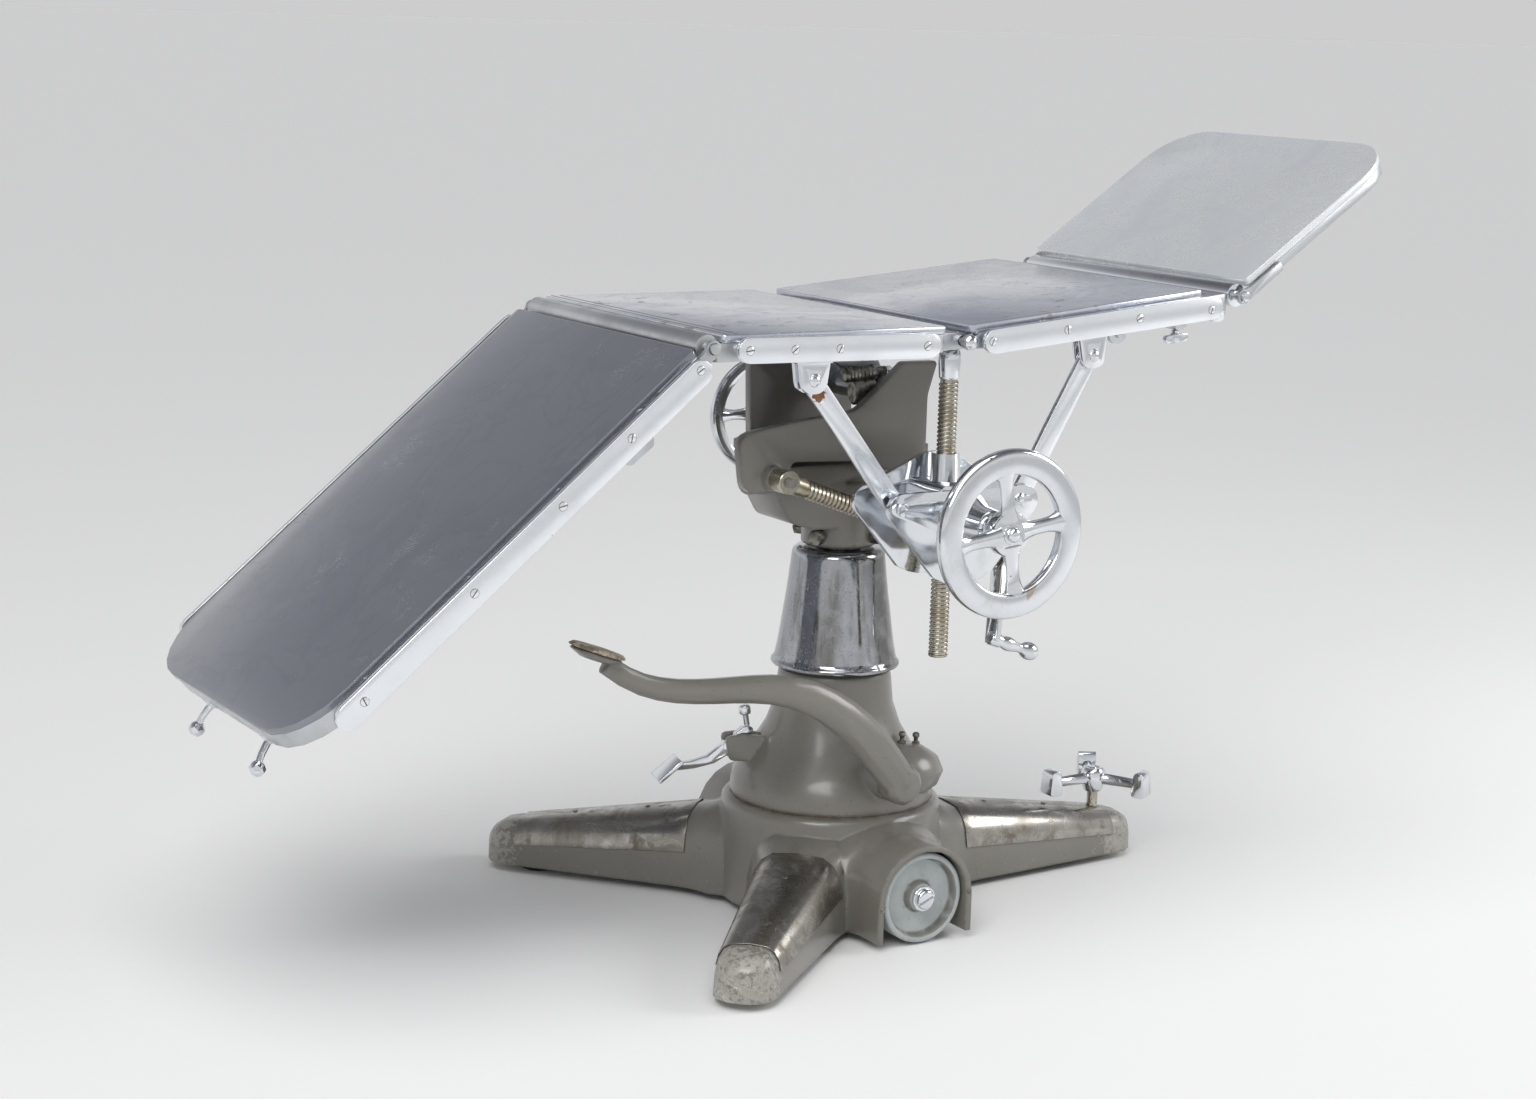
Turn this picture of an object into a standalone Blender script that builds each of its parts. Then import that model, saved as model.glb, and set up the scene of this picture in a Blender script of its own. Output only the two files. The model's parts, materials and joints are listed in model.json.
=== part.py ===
# Hydraulic operating table on a three-leg cast base, with flexing sections.
# Metres, +Z up, +X towards the head end, -Y towards the side with the big handwheel.
# Heights below are measured from the floor, and the whole model hangs from one empty
# that puts the origin on the underside of the hydraulic cylinder.

import math

import bmesh
import bpy
from mathutils import Matrix, Vector

# Facets around a large, a middle and a small round; all divide by four
LARGE_ROUND = 28
ROUND = 16
SMALL_ROUND = 12
FINE_ROUND = 8
LEG_FACETS = 10
HOLLOW_FACETS = 8

# Clearances
SEAT_GAP = 0.0003
RUN_GAP = 0.0008
SIDE_GAP = 0.0006

# Base casting
CYLINDER_FOOT_Z = 0.010
DRUM_RADIUS = 0.1515
DRUM_WALL = 0.010
DECK_Z = 0.1525
DECK_THICKNESS = 0.015
RIM_Z = 0.011
LEG_ANGLES = {"left": 135.0, "front": -135.0, "right": 0.0}
LEG_REACH = {"left": 0.493, "front": 0.493, "right": 0.515}
LEG_ROOT = 0.125
LEG_ROOT_HEIGHT = 0.124
LEG_ROOT_HALF_WIDTH = 0.066
LEG_TIP_HEIGHT = 0.064
LEG_TIP_HALF_WIDTH = 0.0385
LEG_WALL = 0.008
LEG_SOLID_TIP = 0.11
COVER_START = 0.190
LEG_FLARE_STATIONS = (0.152, 0.168)
COVER_END_GAP = 0.048
COVER_THICKNESS = 0.0014
FOOT_RADIUS = 0.026
FOOT_INSET = 0.072
HEAD_FOOT_INSET = 0.125

# Transport wheels
WHEEL_RADIUS = 0.061
WHEEL_WIDTH = 0.034
WHEEL_LIFT = 0.003
WHEEL_MID_Y = 0.217
HOOD_FACE_Y = 0.241
HOOD_WALL = 0.008
WHEEL_CLEARANCE = 0.0045
AXLE_RADIUS = 0.009

# Column
SEAM_RADIUS = 0.140
BELL_WAIST_RADIUS = 0.078
BELL_WAIST_Z = 0.319
BELL_WALL = 0.008
GUIDE_RADIUS = 0.057
GUIDE_TOP_Z = 0.458
CYLINDER_RADIUS = 0.046
CYLINDER_BORE = 0.034
RAM_RADIUS = 0.0325
RAM_TOP_Z = 0.545
SLEEVE_TOP_Z = 0.4965
SLEEVE_BOTTOM_Z = 0.3335
SLEEVE_TOP_RADIUS = 0.0636
SLEEVE_BOTTOM_RADIUS = 0.0835
SLEEVE_MIDDLE_RADIUS = 0.0735
SLEEVE_MIDDLE_Z = 0.406
SLEEVE_WALL = 0.0025

# Pump lever and release pedal
PUMP_Z = 0.204
PUMP_Y = -0.170
PUMP_HUB_RADIUS = 0.027
PUMP_SHAFT_RADIUS = 0.0105
PAD_RADIUS = 0.037
ARM_FLATNESS = 0.72
PEDAL_AZIMUTH = 165.0
PEDAL_PIVOT_R = 0.147
PEDAL_PIVOT_Z = 0.222

# Turret and cradle
NECK_RADIUS = 0.0525
NECK_BOTTOM_Z = 0.500
SIDE_TILT_Z = 0.600
BARREL_RADIUS = 0.026
PIN_RADIUS = 0.0095
CRADLE_WALL = 0.015
CRADLE_FLOOR_Z = 0.634
CRADLE_FLOOR_THICKNESS = 0.012
TILT_X = 0.028
TILT_Z = 0.716

# Table top
TOP_HALF_WIDTH = 0.240
TOP_Z = 0.8208
SHEET_THICKNESS = 0.010
FRAME_DEPTH = 0.023
FRAME_BAR = 0.020
NOSING_RADIUS = 0.0158
FRAME_HALF_WIDTH = TOP_HALF_WIDTH - 0.0015
NOSE_HALF_WIDTH = TOP_HALF_WIDTH - 0.0115
PIN_END_Y = TOP_HALF_WIDTH + 0.0105
RAIL_FACE_Y = TOP_HALF_WIDTH + 0.021
RAIL_THICKNESS = 0.008
RAIL_HEIGHT = 0.032
LEG_HINGE_X = -0.346
FLEX_HINGE_X = 0.030
FLEX_HINGE_Z = 0.800
LEG_SLOPE = 39.8
BACK_SLOPE = 5.3
HEAD_SLOPE = 34.2
LEG_LENGTH = 0.695
BACK_LENGTH = 0.385
HEAD_HINGE_U = BACK_LENGTH + 0.0663
HEAD_HINGE_W = 0.0045
HEAD_LENGTH = 0.336
CORNER_RADIUS = 0.092
EAR_Y = TOP_HALF_WIDTH + 0.0005
EAR_THICKNESS = 0.006
EAR_RADIUS = 0.0105
HINGE_PIN_RADIUS = 0.0066
SLIDE_ROD_Y = TOP_HALF_WIDTH - 0.054
SLIDE_ROD_RADIUS = 0.0065
GUIDE_PLACES = (BACK_LENGTH - 0.109, BACK_LENGTH - 0.005)
LEVER_PLACE = (0.012 - LEG_LENGTH, 0.095)
LUG_THICKNESS = 0.008
LEG_LUG_PLACE = -0.143
BACK_LUG_PLACE = 0.2415

# Flexing linkage
LINK_PIN_Y = 0.008 - TOP_HALF_WIDTH
LINK_THICKNESS = 0.007
LINK_WIDTH = 0.027
SEAT_LINK_PIN = (-0.199, 0.760)
BACK_LINK_PIN = (0.232, 0.775)
HOUSING_PIN_HALF_SPAN = 0.0955
HOUSING_PIN_Z = 0.5895
ROD_Y = LINK_PIN_Y + 0.030
ROD_RADIUS = 0.0128
ROD_BOTTOM_Z = 0.382
PLATE_FRONT_Y = LINK_PIN_Y - 0.017
PLATE_BACK_Y = LINK_PIN_Y + 0.073
PLATE_THICKNESS = 0.008
HANDWHEEL_Z = 0.570
HANDWHEEL_RADIUS = 0.109
HANDWHEEL_RIM = 0.033
HANDWHEEL_FACE_Y = PLATE_FRONT_Y - 0.109

# Length tilt screw
SCREW_Y = PLATE_BACK_Y + 0.029
CRADLE_HALF_WIDTH = -0.030 - SCREW_Y
EYE_X = -0.170
EYE_Z = 0.615
SCREW_SLOPE = 20.4
SCREW_RADIUS = 0.0125
CRANK_DISTANCE = 0.369
NUT_DISTANCE = 0.214
CRANK_ARM = 0.112
CRANK_HANG = -22.0

# Side tilt handwheel
GEAR_WHEEL_X = 0.010
GEAR_WHEEL_Z = 0.646
GEAR_WHEEL_Y = 0.235
GEAR_WHEEL_RADIUS = 0.084

# Floor lock
LOCK_R = 0.457
LOCK_HUB_Z = 0.116
LOCK_ARM = 0.072
LOCK_SCREW_RADIUS = 0.0078

TABLE = bpy.data.collections.new("operating_table")
CUTTERS = bpy.data.collections.new("cutters")


def polar(radius, degrees, centre=(0.0, 0.0)):
    angle = math.radians(degrees)
    return (centre[0] + radius * math.cos(angle), centre[1] + radius * math.sin(angle))


def arc(centre, radius, start, end, steps):
    return [polar(radius, start + (end - start) * i / steps, centre) for i in range(steps + 1)]


def rounded(points, radius, steps=3):
    """Closed outline whose corners are arcs; a point may carry its own radius."""
    outline = []
    count = len(points)
    for i, point in enumerate(points):
        corner = Vector(point[:2])
        r = point[2] if len(point) > 2 else radius
        before = (Vector(points[i - 1][:2]) - corner).normalized()
        after = (Vector(points[(i + 1) % count][:2]) - corner).normalized()
        half = before.angle(after) / 2
        reach = r / math.tan(half)
        pieces = steps if r > 0.009 else (2 if r > 0.0035 else 1)
        if r < 1e-6 or half > math.radians(88):
            outline.append(corner[:])
            continue
        start = corner + before * reach
        end = corner + after * reach
        centre = corner + (before + after).normalized() * (r / math.sin(half))
        a = start - centre
        b = end - centre
        sweep = math.atan2(a.x * b.y - a.y * b.x, a.dot(b))
        for k in range(pieces + 1):
            outline.append((centre + Matrix.Rotation(sweep * k / pieces, 2) @ a)[:])
    return outline


def clear_scene():
    for old in list(bpy.data.objects):
        bpy.data.objects.remove(old, do_unlink=True)
    bpy.context.scene.collection.children.link(TABLE)
    bpy.context.scene.collection.children.link(CUTTERS)


def finish(name, color, roughness, metallic):
    material = bpy.data.materials.new(name)
    material.use_nodes = True
    shader = material.node_tree.nodes["Principled BSDF"]
    shader.inputs["Base Color"].default_value = (*color, 1.0)
    shader.inputs["Roughness"].default_value = roughness
    shader.inputs["Metallic"].default_value = metallic
    return material


def add(name, mesh, parent, material=None, at=(0, 0, 0), turn=(0, 0, 0)):
    piece = bpy.data.objects.new(name, mesh)
    if material is None:
        CUTTERS.objects.link(piece)
        piece.hide_render = True
        piece.display_type = "WIRE"
    else:
        TABLE.objects.link(piece)
        own = material.copy()
        own.name = name
        mesh.materials.clear()
        mesh.materials.append(own)
    piece.parent = parent
    piece.location = at
    piece.rotation_euler = [math.radians(angle) for angle in turn]
    return piece


def pivot(name, parent, at, turn=(0, 0, 0)):
    empty = bpy.data.objects.new(name, None)
    TABLE.objects.link(empty)
    empty.parent = parent
    empty.location = at
    empty.rotation_euler = [math.radians(angle) for angle in turn]
    return empty


def to_mesh(name, bm):
    bmesh.ops.recalc_face_normals(bm, faces=bm.faces)
    mesh = bpy.data.meshes.new(name)
    bm.to_mesh(mesh)
    bm.free()
    return mesh


def box_mesh(name, low, high, bevel=0.0):
    bm = bmesh.new()
    bmesh.ops.create_cube(bm, size=1.0)
    size = Vector(high) - Vector(low)
    bmesh.ops.scale(bm, vec=size, verts=bm.verts)
    bmesh.ops.translate(bm, vec=(Vector(high) + Vector(low)) / 2, verts=bm.verts)
    if bevel > 0:
        bmesh.ops.bevel(bm, geom=bm.edges[:], offset=bevel, segments=2, profile=0.5, affect="EDGES")
    return to_mesh(name, bm)


def rod_mesh(name, start, end, radius, sides=SMALL_ROUND, end_radius=None):
    """Straight round bar or cone between two points."""
    start = Vector(start)
    end = Vector(end)
    bm = bmesh.new()
    length = (end - start).length
    top = radius if end_radius is None else end_radius
    bmesh.ops.create_cone(bm, cap_ends=True, segments=sides, radius1=radius, radius2=top, depth=length)
    turn = Vector((0, 0, 1)).rotation_difference(end - start).to_matrix().to_4x4()
    bmesh.ops.transform(bm, matrix=Matrix.Translation((start + end) / 2) @ turn, verts=bm.verts)
    return to_mesh(name, bm)


def ball_mesh(name, centre, radii, sides=FINE_ROUND):
    bm = bmesh.new()
    bmesh.ops.create_uvsphere(bm, u_segments=sides, v_segments=sides // 2, radius=1.0)
    bmesh.ops.scale(bm, vec=radii, verts=bm.verts)
    bmesh.ops.translate(bm, vec=centre, verts=bm.verts)
    return to_mesh(name, bm)


def evaluated_mesh(piece):
    """Mesh of a piece with its modifiers, welded, in the piece's own space."""
    bpy.context.view_layer.update()
    graph = bpy.context.evaluated_depsgraph_get()
    mesh = bpy.data.meshes.new_from_object(piece.evaluated_get(graph))
    bm = bmesh.new()
    bm.from_mesh(mesh)
    bmesh.ops.remove_doubles(bm, verts=bm.verts, dist=1e-6)
    bmesh.ops.recalc_face_normals(bm, faces=bm.faces)
    bm.to_mesh(mesh)
    bm.free()
    return mesh


def plate_mesh(name, loops, low, high):
    """Flat outline in X and Z, given thickness along Y from low to high."""
    curve = bpy.data.curves.new(name, "CURVE")
    curve.dimensions = "2D"
    curve.fill_mode = "BOTH"
    curve.extrude = abs(high - low) / 2
    for loop in loops:
        spline = curve.splines.new("POLY")
        spline.points.add(len(loop) - 1)
        for point, (x, z) in zip(spline.points, loop):
            point.co = (x, z, 0, 1)
        spline.use_cyclic_u = True
    guide = bpy.data.objects.new(name, curve)
    CUTTERS.objects.link(guide)
    mesh = evaluated_mesh(guide)
    bpy.data.objects.remove(guide, do_unlink=True)
    mesh.transform(Matrix.Translation((0, (low + high) / 2, 0)) @ Matrix.Rotation(math.pi / 2, 4, "X"))
    return mesh


def panel_mesh(name, loops, low, high):
    """Flat outline in X and Y, given thickness along Z from low to high."""
    mesh = plate_mesh(name, loops, -(high - low) / 2, (high - low) / 2)
    mesh.transform(Matrix.Translation((0, 0, (low + high) / 2)) @ Matrix.Rotation(-math.pi / 2, 4, "X"))
    return mesh


def tube_mesh(name, points, radii, sides=2, closed=False):
    """Round bar along a smooth curve whose radius may change."""
    curve = bpy.data.curves.new(name, "CURVE")
    curve.dimensions = "3D"
    curve.bevel_depth = 1.0
    curve.bevel_resolution = sides
    curve.resolution_u = 2
    curve.use_fill_caps = True
    spline = curve.splines.new("NURBS")
    spline.points.add(len(points) - 1)
    spline.use_endpoint_u = True
    spline.use_cyclic_u = closed
    spline.order_u = 3
    for point, place, radius in zip(spline.points, points, radii):
        point.co = (*place, 1)
        point.radius = radius
    guide = bpy.data.objects.new(name, curve)
    CUTTERS.objects.link(guide)
    mesh = evaluated_mesh(guide)
    bpy.data.objects.remove(guide, do_unlink=True)
    return mesh


def turned_mesh(name, profile, steps=ROUND, axis="Z", closed=False):
    """Solid of revolution; an open profile starts and ends on the axis."""
    bm = bmesh.new()
    verts = [bm.verts.new((r, 0, z)) for r, z in profile]
    for a, b in zip(verts, verts[1:]):
        bm.edges.new((a, b))
    if closed:
        bm.edges.new((verts[-1], verts[0]))
    mesh = bpy.data.meshes.new(name)
    bm.to_mesh(mesh)
    bm.free()
    guide = bpy.data.objects.new(name, mesh)
    CUTTERS.objects.link(guide)
    screw = guide.modifiers.new("turn", "SCREW")
    screw.steps = steps
    screw.render_steps = steps
    screw.use_merge_vertices = True
    screw.merge_threshold = 0.00001
    result = evaluated_mesh(guide)
    bpy.data.objects.remove(guide, do_unlink=True)
    if axis == "Y":
        result.transform(Matrix.Rotation(math.pi / 2, 4, "X"))
    if axis == "X":
        result.transform(Matrix.Rotation(math.pi / 2, 4, "Y"))
    return result


def loft_mesh(name, sections):
    """Closed skin through rings that have the same number of points."""
    bm = bmesh.new()
    rings = [[bm.verts.new(point) for point in ring] for ring in sections]
    count = len(rings[0])
    for first, second in zip(rings, rings[1:]):
        for i in range(count):
            j = (i + 1) % count
            bm.faces.new((first[i], first[j], second[j], second[i]))
    bm.faces.new(rings[0][::-1])
    bm.faces.new(rings[-1])
    return to_mesh(name, bm)


def combine(piece, mesh, operation, at=(0, 0, 0), turn=(0, 0, 0)):
    """Boolean of another shape into a piece, in the space of the piece's parent."""
    tool = add(f"{piece.name}_{operation.lower()}_{len(piece.modifiers)}", mesh, piece.parent, at=at,
               turn=turn)
    modifier = piece.modifiers.new(operation.lower(), "BOOLEAN")
    modifier.operation = operation
    modifier.solver = "EXACT"
    modifier.object = tool
    return tool


def join(piece, mesh, at=(0, 0, 0), turn=(0, 0, 0)):
    return combine(piece, mesh, "UNION", at, turn)


def cut(piece, mesh, at=(0, 0, 0), turn=(0, 0, 0)):
    return combine(piece, mesh, "DIFFERENCE", at, turn)


def soften(piece, width, segments=2, angle=40):
    bevel = piece.modifiers.new("round", "BEVEL")
    bevel.width = width
    bevel.segments = segments
    bevel.limit_method = "ANGLE"
    bevel.angle_limit = math.radians(angle)
    return bevel


def merge_flats(piece):
    """Joins the flat faces that the Booleans split, so that the piece keeps only the facets that it needs."""
    flats = piece.modifiers.new("flats", "DECIMATE")
    flats.decimate_type = "DISSOLVE"
    flats.angle_limit = math.radians(1.5)
    return flats


def bore(piece, x, z, radius, low, high, sides=SMALL_ROUND):
    """Round hole along Y."""
    cut(piece, rod_mesh("bore", (x, low, z), (x, high, z), radius, sides))


# Section of a leg: an arch, with the side towards the drum flared like a fillet
def leg_size(reach, r, shrink=0.0):
    share = (r - LEG_ROOT) / (reach - LEG_ROOT)
    flare = math.exp(-max(r - DRUM_RADIUS, 0) / 0.022)
    half_width = LEG_ROOT_HALF_WIDTH + (LEG_TIP_HALF_WIDTH - LEG_ROOT_HALF_WIDTH) * share
    height = LEG_ROOT_HEIGHT + (LEG_TIP_HEIGHT - LEG_ROOT_HEIGHT) * share
    return half_width + 0.016 * flare - shrink, height + 0.008 * flare - shrink


def leg_arch(r, half_width, height, base_z, steps=LEG_FACETS, start=0.0):
    points = []
    for i in range(steps + 1):
        angle = math.pi * (start + (1 - 2 * start) * i / steps)
        y = half_width * math.copysign(abs(math.cos(angle)) ** 0.55, math.cos(angle))
        z = base_z + (height - base_z) * math.sin(angle) ** 0.62
        points.append((r, y, z))
    return points


def leg_mesh(name, reach):
    middle = COVER_START + 0.020
    stations = [LEG_ROOT, *LEG_FLARE_STATIONS, COVER_START, middle, reach - COVER_END_GAP, reach - 0.042]
    sections = [leg_arch(r, *leg_size(reach, r), RIM_Z) for r in stations]
    tip = reach - 0.042
    half_width, height = leg_size(reach, tip)
    for angle in (28, 52, 70, 83):
        along = math.sin(math.radians(angle))
        share = math.cos(math.radians(angle)) ** 0.75
        lift = 0.45 + 0.55 * math.cos(math.radians(angle)) ** 0.8
        sections.append(leg_arch(tip + 0.042 * along, half_width * share, height * lift, RIM_Z))
    return loft_mesh(name, sections)


def leg_hollow_mesh(name, reach):
    stations = [LEG_ROOT - 0.025, *LEG_FLARE_STATIONS, COVER_START, COVER_START + 0.020,
                reach - LEG_SOLID_TIP]
    sections = []
    for r in stations:
        half_width, height = leg_size(reach, max(r, LEG_ROOT), LEG_WALL)
        sections.append(leg_arch(r, half_width, height, RIM_Z - 0.02, HOLLOW_FACETS))
    return loft_mesh(name, sections)


def hood_ring(y, radius, top_z, bottom_z, steps=LEG_FACETS):
    ring = [(-radius, y, bottom_z)]
    axle_z = WHEEL_RADIUS + WHEEL_LIFT
    for i in range(steps + 1):
        angle = math.pi * (1 - i / steps)
        ring.append((radius * math.cos(angle), y, axle_z + (top_z - axle_z) * math.sin(angle)))
    ring.append((radius, y, bottom_z))
    return ring


def base_casting(root, paint):
    outer = [
        (0.0, DECK_Z),
        (SEAM_RADIUS, DECK_Z),
        (SEAM_RADIUS + 0.0065, DECK_Z - 0.0025),
        (DRUM_RADIUS - 0.001, DECK_Z - 0.008),
        (DRUM_RADIUS, DECK_Z - 0.0145),
        (DRUM_RADIUS, RIM_Z),
        (0.0, RIM_Z),
    ]
    base = add("base_casting", turned_mesh("drum", outer, LARGE_ROUND), root, paint)
    for side, angle in LEG_ANGLES.items():
        join(base, leg_mesh("leg", LEG_REACH[side]), turn=(0, 0, angle))
    axle_z = WHEEL_RADIUS + WHEEL_LIFT
    arch = WHEEL_RADIUS + WHEEL_CLEARANCE
    for side in (-1, 1):
        sections = []
        for y, flare in ((0.125, 0.034), (0.154, 0.025), (0.164, 0.014), (0.176, 0.006), (0.196, 0.0),
                         (HOOD_FACE_Y, 0.0)):
            radius = arch + HOOD_WALL + flare
            sections.append(hood_ring(side * y, radius, axle_z + arch + HOOD_WALL + flare * 0.3,
                                      RIM_Z + 0.001))
        join(base, loft_mesh("hood", sections))
    cut(base, rod_mesh("hollow", (0, 0, -0.05), (0, 0, DECK_Z - DECK_THICKNESS), DRUM_RADIUS - DRUM_WALL,
                       LARGE_ROUND))
    for side, angle in LEG_ANGLES.items():
        cut(base, leg_hollow_mesh("leg_hollow", LEG_REACH[side]), turn=(0, 0, angle))
    well_depth = WHEEL_MID_Y - WHEEL_WIDTH / 2 - 0.006
    for side in (-1, 1):
        rings = [hood_ring(side * y, arch, axle_z + arch, -0.03) for y in (well_depth, HOOD_FACE_Y + 0.02)]
        cut(base, loft_mesh("well", rings))
        cut(base, rod_mesh("axle_seat", (0, side * (well_depth + 0.01), axle_z),
                           (0, side * (well_depth - 0.024), axle_z), AXLE_RADIUS + SEAT_GAP, SMALL_ROUND))
    cut(base, rod_mesh("cylinder_hole", (0, 0, 0.1), (0, 0, 0.2), CYLINDER_RADIUS + RUN_GAP, ROUND))
    lock = Vector((LOCK_R, 0, 0))
    cut(base, rod_mesh("lock_hole", lock + Vector((0, 0, -0.01)), lock + Vector((0, 0, 0.12)),
                       LOCK_SCREW_RADIUS + RUN_GAP,
                       SMALL_ROUND))
    merge_flats(base)
    return base


def leg_cover(root, side, steel):
    reach = LEG_REACH[side]
    bm = bmesh.new()
    rows = []
    for r in (COVER_START, COVER_START + 0.020, reach - COVER_END_GAP):
        half_width, height = leg_size(reach, r)
        arch = leg_arch(r, half_width + SEAT_GAP * 2, height + SEAT_GAP * 2, RIM_Z, LEG_FACETS - 2,
                        1 / LEG_FACETS)
        rows.append([bm.verts.new(point) for point in arch])
    for first, second in zip(rows, rows[1:]):
        for i in range(len(first) - 1):
            bm.faces.new((first[i], first[i + 1], second[i + 1], second[i]))
    mesh = to_mesh("cover", bm)
    if mesh.polygons[len(mesh.polygons) // 2].normal.z < 0:
        mesh.flip_normals()
    cover = add(f"leg_cover_{side}", mesh, root, steel, turn=(0, 0, LEG_ANGLES[side]))
    shell = cover.modifiers.new("sheet", "SOLIDIFY")
    shell.thickness = COVER_THICKNESS
    shell.offset = 1.0
    shell.use_even_offset = True
    if side == "right":
        bpy.context.view_layer.update()
        cut(cover, rod_mesh("lock_notch", (LOCK_R, 0, 0.04), (LOCK_R, 0, 0.12), 0.0105, SMALL_ROUND))
    return cover


def foot_pad(root, side, steel):
    inset = HEAD_FOOT_INSET if side == "right" else FOOT_INSET
    x, y = polar(LEG_REACH[side] - inset, LEG_ANGLES[side])
    profile = [
        (0.0, RIM_Z - SEAT_GAP),
        (FOOT_RADIUS - 0.004, RIM_Z - SEAT_GAP),
        (FOOT_RADIUS, 0.006),
        (FOOT_RADIUS, 0.002),
        (FOOT_RADIUS - 0.002, 0.0),
        (0.0, 0.0),
    ]
    return add(f"foot_pad_{side}", turned_mesh("pad", profile, SMALL_ROUND), root, steel, at=(x, y, 0))


def wheel_set(root, side, steel, grey):
    label = "near" if side < 0 else "far"
    axle_z = WHEEL_RADIUS + WHEEL_LIFT
    half = WHEEL_WIDTH / 2
    inner = AXLE_RADIUS + RUN_GAP
    profile = [
        (inner, half - 0.004),
        (0.016, half - 0.004),
        (0.018, half - 0.008),
        (WHEEL_RADIUS - 0.010, half - 0.009),
        (WHEEL_RADIUS - 0.007, half),
        (WHEEL_RADIUS - 0.003, half),
        (WHEEL_RADIUS, half - 0.003),
        (WHEEL_RADIUS, -half + 0.003),
        (WHEEL_RADIUS - 0.003, -half),
        (inner, -half),
    ]
    mesh = turned_mesh("wheel", profile, LARGE_ROUND - 4, "Y", closed=True)
    if side > 0:
        mesh.transform(Matrix.Rotation(math.pi, 4, "Z"))
    hub = pivot(f"wheel_{label}_axis", root, (0, side * WHEEL_MID_Y, axle_z))
    add(f"wheel_{label}", mesh, hub, grey)
    seat = WHEEL_MID_Y - half - 0.006 - 0.022
    face = WHEEL_MID_Y + half + 0.0015
    start = AXLE_RADIUS
    axle_profile = [
        (0.0, face + 0.009),
        (0.0155, face + 0.0075),
        (0.017, face + 0.005),
        (0.017, face),
        (start, face),
        (start, seat),
        (0.0, seat),
    ]
    axle = turned_mesh("axle", axle_profile, SMALL_ROUND, "Y")
    if side < 0:
        axle.transform(Matrix.Scale(1, 4))
    else:
        axle.transform(Matrix.Rotation(math.pi, 4, "Z"))
    add(f"wheel_axle_{label}", axle, root, steel, at=(0, 0, axle_z))


def column(root, paint):
    wall = BELL_WALL
    bottom = DECK_Z + SEAT_GAP
    outer = [
        (GUIDE_RADIUS, GUIDE_TOP_Z),
        (GUIDE_RADIUS + 0.002, BELL_WAIST_Z + 0.030),
        (GUIDE_RADIUS + 0.010, BELL_WAIST_Z + 0.014),
        (BELL_WAIST_RADIUS - 0.002, BELL_WAIST_Z + 0.008),
        (BELL_WAIST_RADIUS, BELL_WAIST_Z),
        (BELL_WAIST_RADIUS + 0.004, BELL_WAIST_Z - 0.038),
        (BELL_WAIST_RADIUS + 0.015, BELL_WAIST_Z - 0.069),
        (BELL_WAIST_RADIUS + 0.032, DECK_Z + 0.0695),
        (SEAM_RADIUS - 0.015, DECK_Z + 0.0475),
        (SEAM_RADIUS - 0.003, DECK_Z + 0.0275),
        (SEAM_RADIUS, DECK_Z + 0.0105),
        (SEAM_RADIUS, bottom),
    ]
    bore_radius = CYLINDER_RADIUS + RUN_GAP
    inner = [
        (SEAM_RADIUS - wall, bottom),
        (SEAM_RADIUS - wall, DECK_Z + 0.0105),
        (SEAM_RADIUS - 0.015 - wall, DECK_Z + 0.0395),
        (BELL_WAIST_RADIUS + 0.020, DECK_Z + 0.0695),
        (BELL_WAIST_RADIUS - wall, BELL_WAIST_Z - 0.043),
        (BELL_WAIST_RADIUS - wall - 0.002, BELL_WAIST_Z),
        (bore_radius, BELL_WAIST_Z + 0.020),
        (bore_radius, GUIDE_TOP_Z),
    ]
    body = add("column_body", turned_mesh("bell", outer + inner, LARGE_ROUND, closed=True), root, paint)
    pump = ball_mesh("bulge", (0.052, PUMP_Y + 0.082, PUMP_Z - 0.008), (0.066, 0.050, 0.040), SMALL_ROUND)
    join(body, pump)
    hollow = [(0.0, BELL_WAIST_Z)] + [(r - SEAT_GAP, z) for r, z in reversed(inner[:6])]
    cut(body, turned_mesh("bell_hollow", hollow + [(0.0, bottom)], LARGE_ROUND))
    join(body, rod_mesh("pump_boss", (0, PUMP_Y + 0.085, PUMP_Z), (0, PUMP_Y + 0.0165 + SIDE_GAP, PUMP_Z),
                        0.027, ROUND))
    cut(body, rod_mesh("pump_bore", (0, PUMP_Y + 0.055, PUMP_Z), (0, PUMP_Y - 0.080, PUMP_Z),
                       PUMP_SHAFT_RADIUS + 0.0008, SMALL_ROUND))
    pivot_r, pivot_z = PEDAL_PIVOT_R, PEDAL_PIVOT_Z
    for side in (-1, 1):
        cheek = [(pivot_r - 0.057, pivot_z - 0.022), (pivot_r + 0.003, pivot_z - 0.017, 0.006),
                 (pivot_r + 0.009, pivot_z + 0.016, 0.006), (pivot_r - 0.019, pivot_z + 0.018, 0.004),
                 (pivot_r - 0.057, pivot_z + 0.013)]
        edge = sorted((side * 0.0085, side * 0.0155))
        join(body, plate_mesh("cheek", [rounded(cheek, 0.001)], *edge), turn=(0, 0, PEDAL_AZIMUTH))
    merge_flats(body)
    return body


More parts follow.
